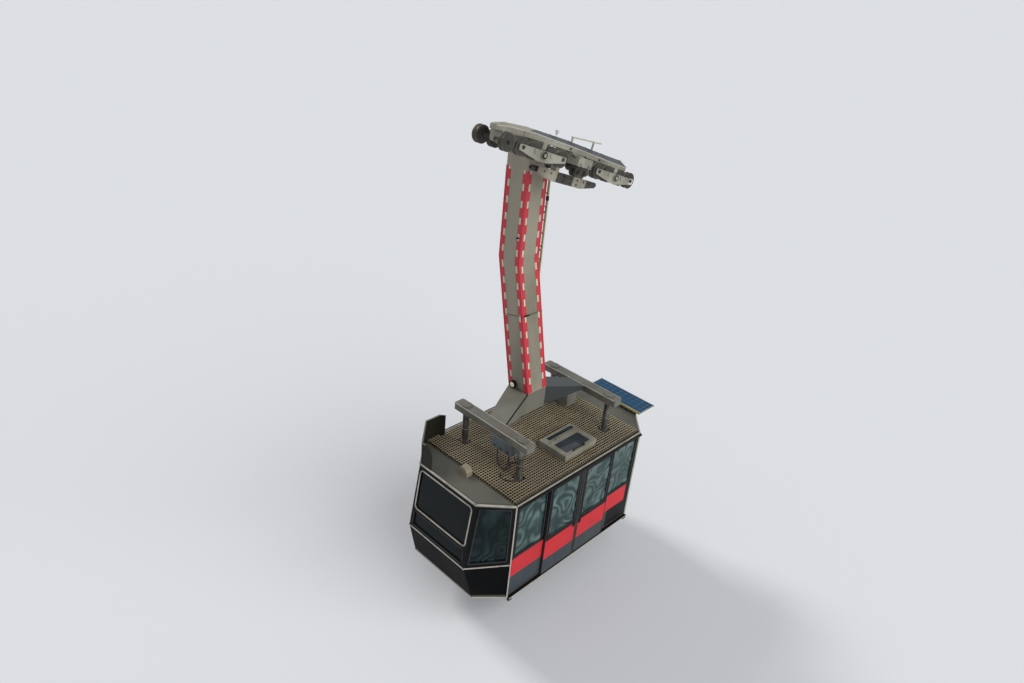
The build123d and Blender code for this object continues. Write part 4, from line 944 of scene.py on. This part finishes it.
def column_fittings():
    """Joint line square to the leaning column, its dark strip and bolts, and a peg higher up."""
    middle = column_y(COLUMN_JOINT)
    lean = (COLUMN_BEND[1] - COLUMN_LOW[1]) / (COLUMN_BEND[0] - COLUMN_LOW[0])
    reach = COLUMN_HALF + 0.002

    def joint_point(x, dy):
        return Vector((x, middle + dy, COLUMN_JOINT - lean * dy))

    line = Piece("column_joint", "guard")
    ring = [(-reach, -reach), (reach, -reach), (reach, reach), (-reach, reach), (-reach, -reach)]
    line.path([joint_point(x, dy) for x, dy in ring], 0.006, 0.006)
    mark = Piece("joint_strip_and_peg", "rail")
    mark.bar(joint_point(-0.24, -reach), joint_point(-0.09, -reach), 0.01, 0.03)
    mark.disc((-COLUMN_HALF, *COLUMN_PEG), (-1, 0, 0), -0.002, 0.04, 0.02)
    bolts = Piece("joint_bolts", "hanger")
    for sx in (-1, 1):
        for dy in (-0.11, 0.11):
            for dz in (-0.045, 0.045):
                bolts.bolt(joint_point(sx * COLUMN_HALF, dy) + Vector((0, lean * dz, dz)), (sx, 0, 0), 0.007)


def lamp_rim():
    """Rim and lens of the lamp at the foot of the column."""
    face = (-COLUMN_HALF, COLUMN_LOW[1] + COLUMN_HALF - 0.15, COLUMN_LOW[0] + 0.08)
    rim = Piece("column_lamp_rim", "rail")
    rim.disc(face, (-1, 0, 0), 0.02, 0.072, 0.083, 32)
    lens = Piece("column_lamp_lens", "lens")
    lens.disc(face, (-1, 0, 0), 0.07, 0.079, 0.059, 32, 0.05)


def ladder_fittings():
    """Rung ends on the stiles, and the clips at the brackets that hold the ladder."""
    first, pitch, count = LADDER_RUNGS
    ends = Piece("rung_ends", "dark_steel")
    for side in (-1, 1):
        y = COLUMN_BEND[1] + side * STILE_OUTER
        for step in range(count):
            z = first + pitch * step
            ends.disc((LADDER_X, y, z), (0, side, 0), -0.002, 0.006, 0.015, 12)
            ends.disc((LADDER_X, y - side * 0.012, z), (-1, 0, 0), 0.023, 0.029, 0.013, 12)
        y = COLUMN_BEND[1] + side * 0.2
        low, high = LADDER_BRACKET_Z - 0.045, LADDER_BRACKET_Z + 0.045
        ends.bar((LADDER_X, y, low), (LADDER_X, y, high), 0.034, 0.06, (0, 1, 0))


def head_fittings():
    """Cap plate and bolts on the outer end of the hanger pin."""
    face = Vector((0, COLUMN_BEND[1] + COLUMN_HALF, PIN_Z))
    cap = Piece("pin_cap", "dark_steel")
    cap.disc(face, (0, 1, 0), 0, 0.018, 0.12, 40)
    bolts = Piece("pin_bolts", "steel")
    for spot in circle(face + Vector((0, 0.018, 0)), 0.09, 8, (1, 0, 0), (0, 0, 1)):
        bolts.bolt(spot, (0, 1, 0), 0.012)


# Carriage
def girder_fittings():
    """Slots, seam and bolts of the girder, and the seams and edge of its cover."""
    marks = Piece("girder_slots", "dark_steel", "carriage")
    bolts = Piece("girder_bolts", "steel", "carriage")
    for side in (-1, 1):
        y = side * (GIRDER_HALF + 0.001)
        for along in (-0.32, 0.62):
            up = sum(girder_heights(along)[:2]) / 2
            marks.bar(carriage(along - 0.028, up, y), carriage(along + 0.028, up, y), 0.04, 0.004, (0, 1, 0))
        for step in range(15):
            along = -1.52 + step * 0.21
            top = girder_heights(along)[1]
            bolts.bolt(carriage(along, top - 0.018, y), (0, side, 0), 0.008)
        low, top, _ = girder_heights(BEAM_SEAM)
        start, end = carriage(BEAM_SEAM, low + 0.004, y), carriage(BEAM_SEAM, top - 0.004, y)
        marks.bar(start, end, 0.008, 0.003, (0, 1, 0))
    seams = Piece("cover_seams", "slate", "carriage")
    for along in (-0.75, -0.2, 0.35, 0.9):
        _, top, ridge = girder_heights(along)
        for side in (-1, 1):
            edge = carriage(along, top + 0.013, side * (GIRDER_HALF - 0.004))
            seams.bar(edge, carriage(along, ridge + 0.002), 0.02, 0.006, ROPE_UP)
    rim = Piece("cover_edge", "trim", "carriage")
    stations = [GIRDER_LINE[0][0] + 0.01, GIRDER_LINE[1][0], -1.79] + [row[0] for row in GIRDER_LINE[2:]]
    for side in (-1, 1):
        edge = []
        for along in stations:
            up = girder_heights(along)[1] + 0.004
            edge.append(carriage(along, up, side * (beam_half(along, up) + 0.002)))
        for low, high in zip(edge, edge[1:]):
            rim.bar(low, high, 0.006, 0.018, ROPE_UP)


def rocker_fittings():
    """Black rings round the pivot caps as painted shadow, caps on the pivots, and caps over the inner axles,
    bolts and strips on the rockers.
    """
    rings = Piece("pivot_shadow_rings", "rail", "carriage")
    caps = Piece("pivot_caps", "girder", "carriage")
    plates = Piece("rocker_covers", "girder", "carriage")
    bolts = Piece("rocker_bolts", "girder", "carriage")
    for pivot in PIVOTS:
        for side in (-1, 1):
            outward = (0, side, 0)
            centre = carriage(pivot, PIVOT_UP, side * PIVOT_OUTER)
            # Black ring round each pivot cap: painted shadow of the cap.
            rings.disc(centre, outward, -0.001, 0.004, 0.061, 32)
            caps.disc(centre, outward, 0.004, 0.009, 0.036, 24)
            face = side * ROCKER_OUTER
            for step in AXLE_STEPS[1:3]:
                plates.disc(carriage(pivot + step, AXLE_UP, face), outward, -0.002, 0.016, 0.04, 24)
            for step in (-0.38, 0.38):
                for up in (0.165, 0.12):
                    bolts.bolt(carriage(pivot + step, up, face), outward, 0.006)
            for step in (-1, 1):
                y = side * (ROCKER_OUTER + 0.003)
                near, far = carriage(pivot + step * 0.11, 0.185, y), carriage(pivot + step * 0.61, 0.185, y)
                plates.bar(near, far, 0.012, 0.006, (0, 1, 0))


def wheel_fittings():
    """Hub plates with bolts on both faces of every wheel, and nuts on the end axle and the outer axles."""
    spots = [(END_AXLE, True)]
    spots += [(pivot + step, step not in AXLE_STEPS[1:3]) for pivot in PIVOTS for step in AXLE_STEPS]
    for number, (along, with_nuts) in enumerate(spots, start=1):
        hubs = Piece(f"wheel_hubs_{number}", "dark_steel", f"wheelset_{number}")
        for side in (-1, 1):
            for out in (1, -1):
                hub = carriage(along, AXLE_UP, side * (ROPE_Y + out * WHEEL_HALF))
                outward = Vector((0, side * out, 0))
                hubs.disc(hub, outward, 0, 0.006, 0.135, 36, 0.132)
                hubs.disc(hub, outward, 0, 0.010, 0.06, 28)
                for spot in circle(hub, 0.095, 6, ROPE_ALONG, ROPE_UP):
                    hubs.disc(spot, outward, 0.004, 0.009, 0.012, 6)
        if with_nuts:
            nuts = Piece(f"axle_nuts_{number}", "dark_steel", f"wheelset_{number}")
            for side in (-1, 1):
                end = carriage(along, AXLE_UP, side * (ROCKER_OUTER + 0.012))
                nuts.disc(end, (0, side, 0), -0.008, 0.004, 0.034, 20)
                nuts.disc(end, (0, side, 0), 0.003, 0.01, 0.016, 6)


def brake_fittings():
    """Hoses and covers of the rope brakes, and bolts of the clamp and of the pin's housing."""
    covers = Piece("brake_can_covers", "dark_steel", "carriage")
    runs = []
    for side in (-1, 1):
        rope = side * (ROPE_Y + 0.11)
        for step in (-BRAKE_STEP, BRAKE_STEP):
            can = carriage(PIN_ALONG + step, 0.025, side * BRAKE_OUTER)
            covers.disc(can, (0, side, 0), 0, 0.006, 0.038, 28)
            covers.disc(can, (0, side, 0), 0, 0.012, 0.012, 6)
            runs.append([
                carriage(PIN_ALONG + step * share, up, y) for share, up, y in (
                    (1, 0.066, rope), (1, 0.11, rope + side * 0.01), (1.6, 0.17, rope + side * 0.012),
                    (2.4, 0.22, rope), (2.9, 0.26, side * (GIRDER_HALF + 0.06)),
                    (3.0, 0.33, side * (GIRDER_HALF + 0.002)),
                )
            ])
    hose("brake_hoses", runs, 0.009, "carriage")
    bolts = Piece("clamp_bolts", "dark_steel", "carriage")
    for side in (-1, 1):
        for step in range(8):
            bolts.bolt(carriage(-0.7 + 0.2 * step, -0.13, side * 0.09), (0, side, 0), 0.014)
        for step in range(4):
            bolts.bolt(carriage(-0.3 + 0.2 * step, -0.215, side * 0.09), (0, side, 0), 0.014)
    plate = Piece("housing_plates", "steel", "carriage")
    for step in (-0.17, 0.17):
        for up in (0.15, 0.265):
            plate.bolt(carriage(PIN_ALONG + step, up, -HOUSING_REACH - 0.0005), (0, -1, 0), 0.012)


# Camera, lights and floor
def make_camera():
    """Camera at the place, direction and tilt fitted to the photograph."""
    heading = Vector((math.cos(CAMERA_HEADING), math.sin(CAMERA_HEADING), 0))
    forward = heading * math.cos(CAMERA_PITCH) - Vector((0, 0, math.sin(CAMERA_PITCH)))
    level_right = Vector((heading.y, -heading.x, 0))
    level_up = level_right.cross(forward)
    right = level_right * math.cos(CAMERA_ROLL) + level_up * math.sin(CAMERA_ROLL)
    up = level_up * math.cos(CAMERA_ROLL) - level_right * math.sin(CAMERA_ROLL)
    data = bpy.data.cameras.new("camera")
    data.lens = CAMERA_LENS
    data.sensor_width = SENSOR_WIDTH
    data.clip_end = 900
    camera = add_object("camera", data)
    turn = Matrix((right, up, -forward)).transposed().to_4x4()
    camera.matrix_world = Matrix.Translation(CAMERA_PLACE) @ turn
    bpy.context.scene.camera = camera


def make_sun(name, toward, energy, angle, colour):
    """Soft sun that shines from a direction."""
    lamp = bpy.data.lights.new(name, "SUN")
    lamp.energy = energy
    lamp.angle = angle
    lamp.color = colour
    sun = add_object(name, lamp)
    sun.rotation_mode = "QUATERNION"
    sun.rotation_quaternion = Vector(toward).to_track_quat("Z", "Y")


def make_stage():
    """Pale floor far below the hanging car, a pale sky to match, and two soft suns."""
    mesh = bpy.data.meshes.new("floor_plane")
    signs = ((-1, -1), (1, -1), (1, 1), (-1, 1))
    corners = [(sx * FLOOR_REACH, sy * FLOOR_REACH, FLOOR_Z) for sx, sy in signs]
    mesh.from_pydata(corners, [], [(0, 1, 2, 3)])
    floor = add_object("stage_floor", mesh)
    look = Look("stage_floor", 0.95, shine=0)
    look.set("Base Color", FLOOR_COLOUR)
    mesh.materials.append(look.material)

    world = bpy.data.worlds.new("sky")
    world.use_nodes = True
    tree = world.node_tree
    light = tree.nodes["Background"]
    feed(tree, light.inputs["Color"], SKY_LIGHT)
    feed(tree, light.inputs["Strength"], SKY_STRENGTH)
    seen = add_node(tree, "ShaderNodeBackground", {"Color": SKY_SEEN})
    rays = add_node(tree, "ShaderNodeLightPath").outputs
    shown = rays["Is Camera Ray"]
    for kind in ("Is Glossy Ray", "Is Transmission Ray"):
        either = add_node(tree, "ShaderNodeMath", {0: shown, 1: rays[kind]}, operation="MAXIMUM")
        shown = either.outputs["Value"]
    values = {0: shown, 1: light.outputs["Background"], 2: seen.outputs["Background"]}
    choice = add_node(tree, "ShaderNodeMixShader", values)
    tree.links.new(choice.outputs["Shader"], tree.nodes["World Output"].inputs["Surface"])
    bpy.context.scene.world = world
    for name, sun in SUNS.items():
        make_sun(name, *sun)


dress_nodes()
cabin_trim()
screen_frames()
window_gaskets()
corner_gaskets()
door_fittings()
ceiling_lamps()
roof_fittings()
roof_seams()
post_fittings()
beam_fittings()
roof_hoses()
column_tape()
column_fittings()
lamp_rim()
ladder_fittings()
head_fittings()
girder_fittings()
rocker_fittings()
wheel_fittings()
brake_fittings()
for piece in Piece.started:
    piece.finish()
make_camera()
make_stage()
bpy.context.scene.view_settings.view_transform = "Standard"
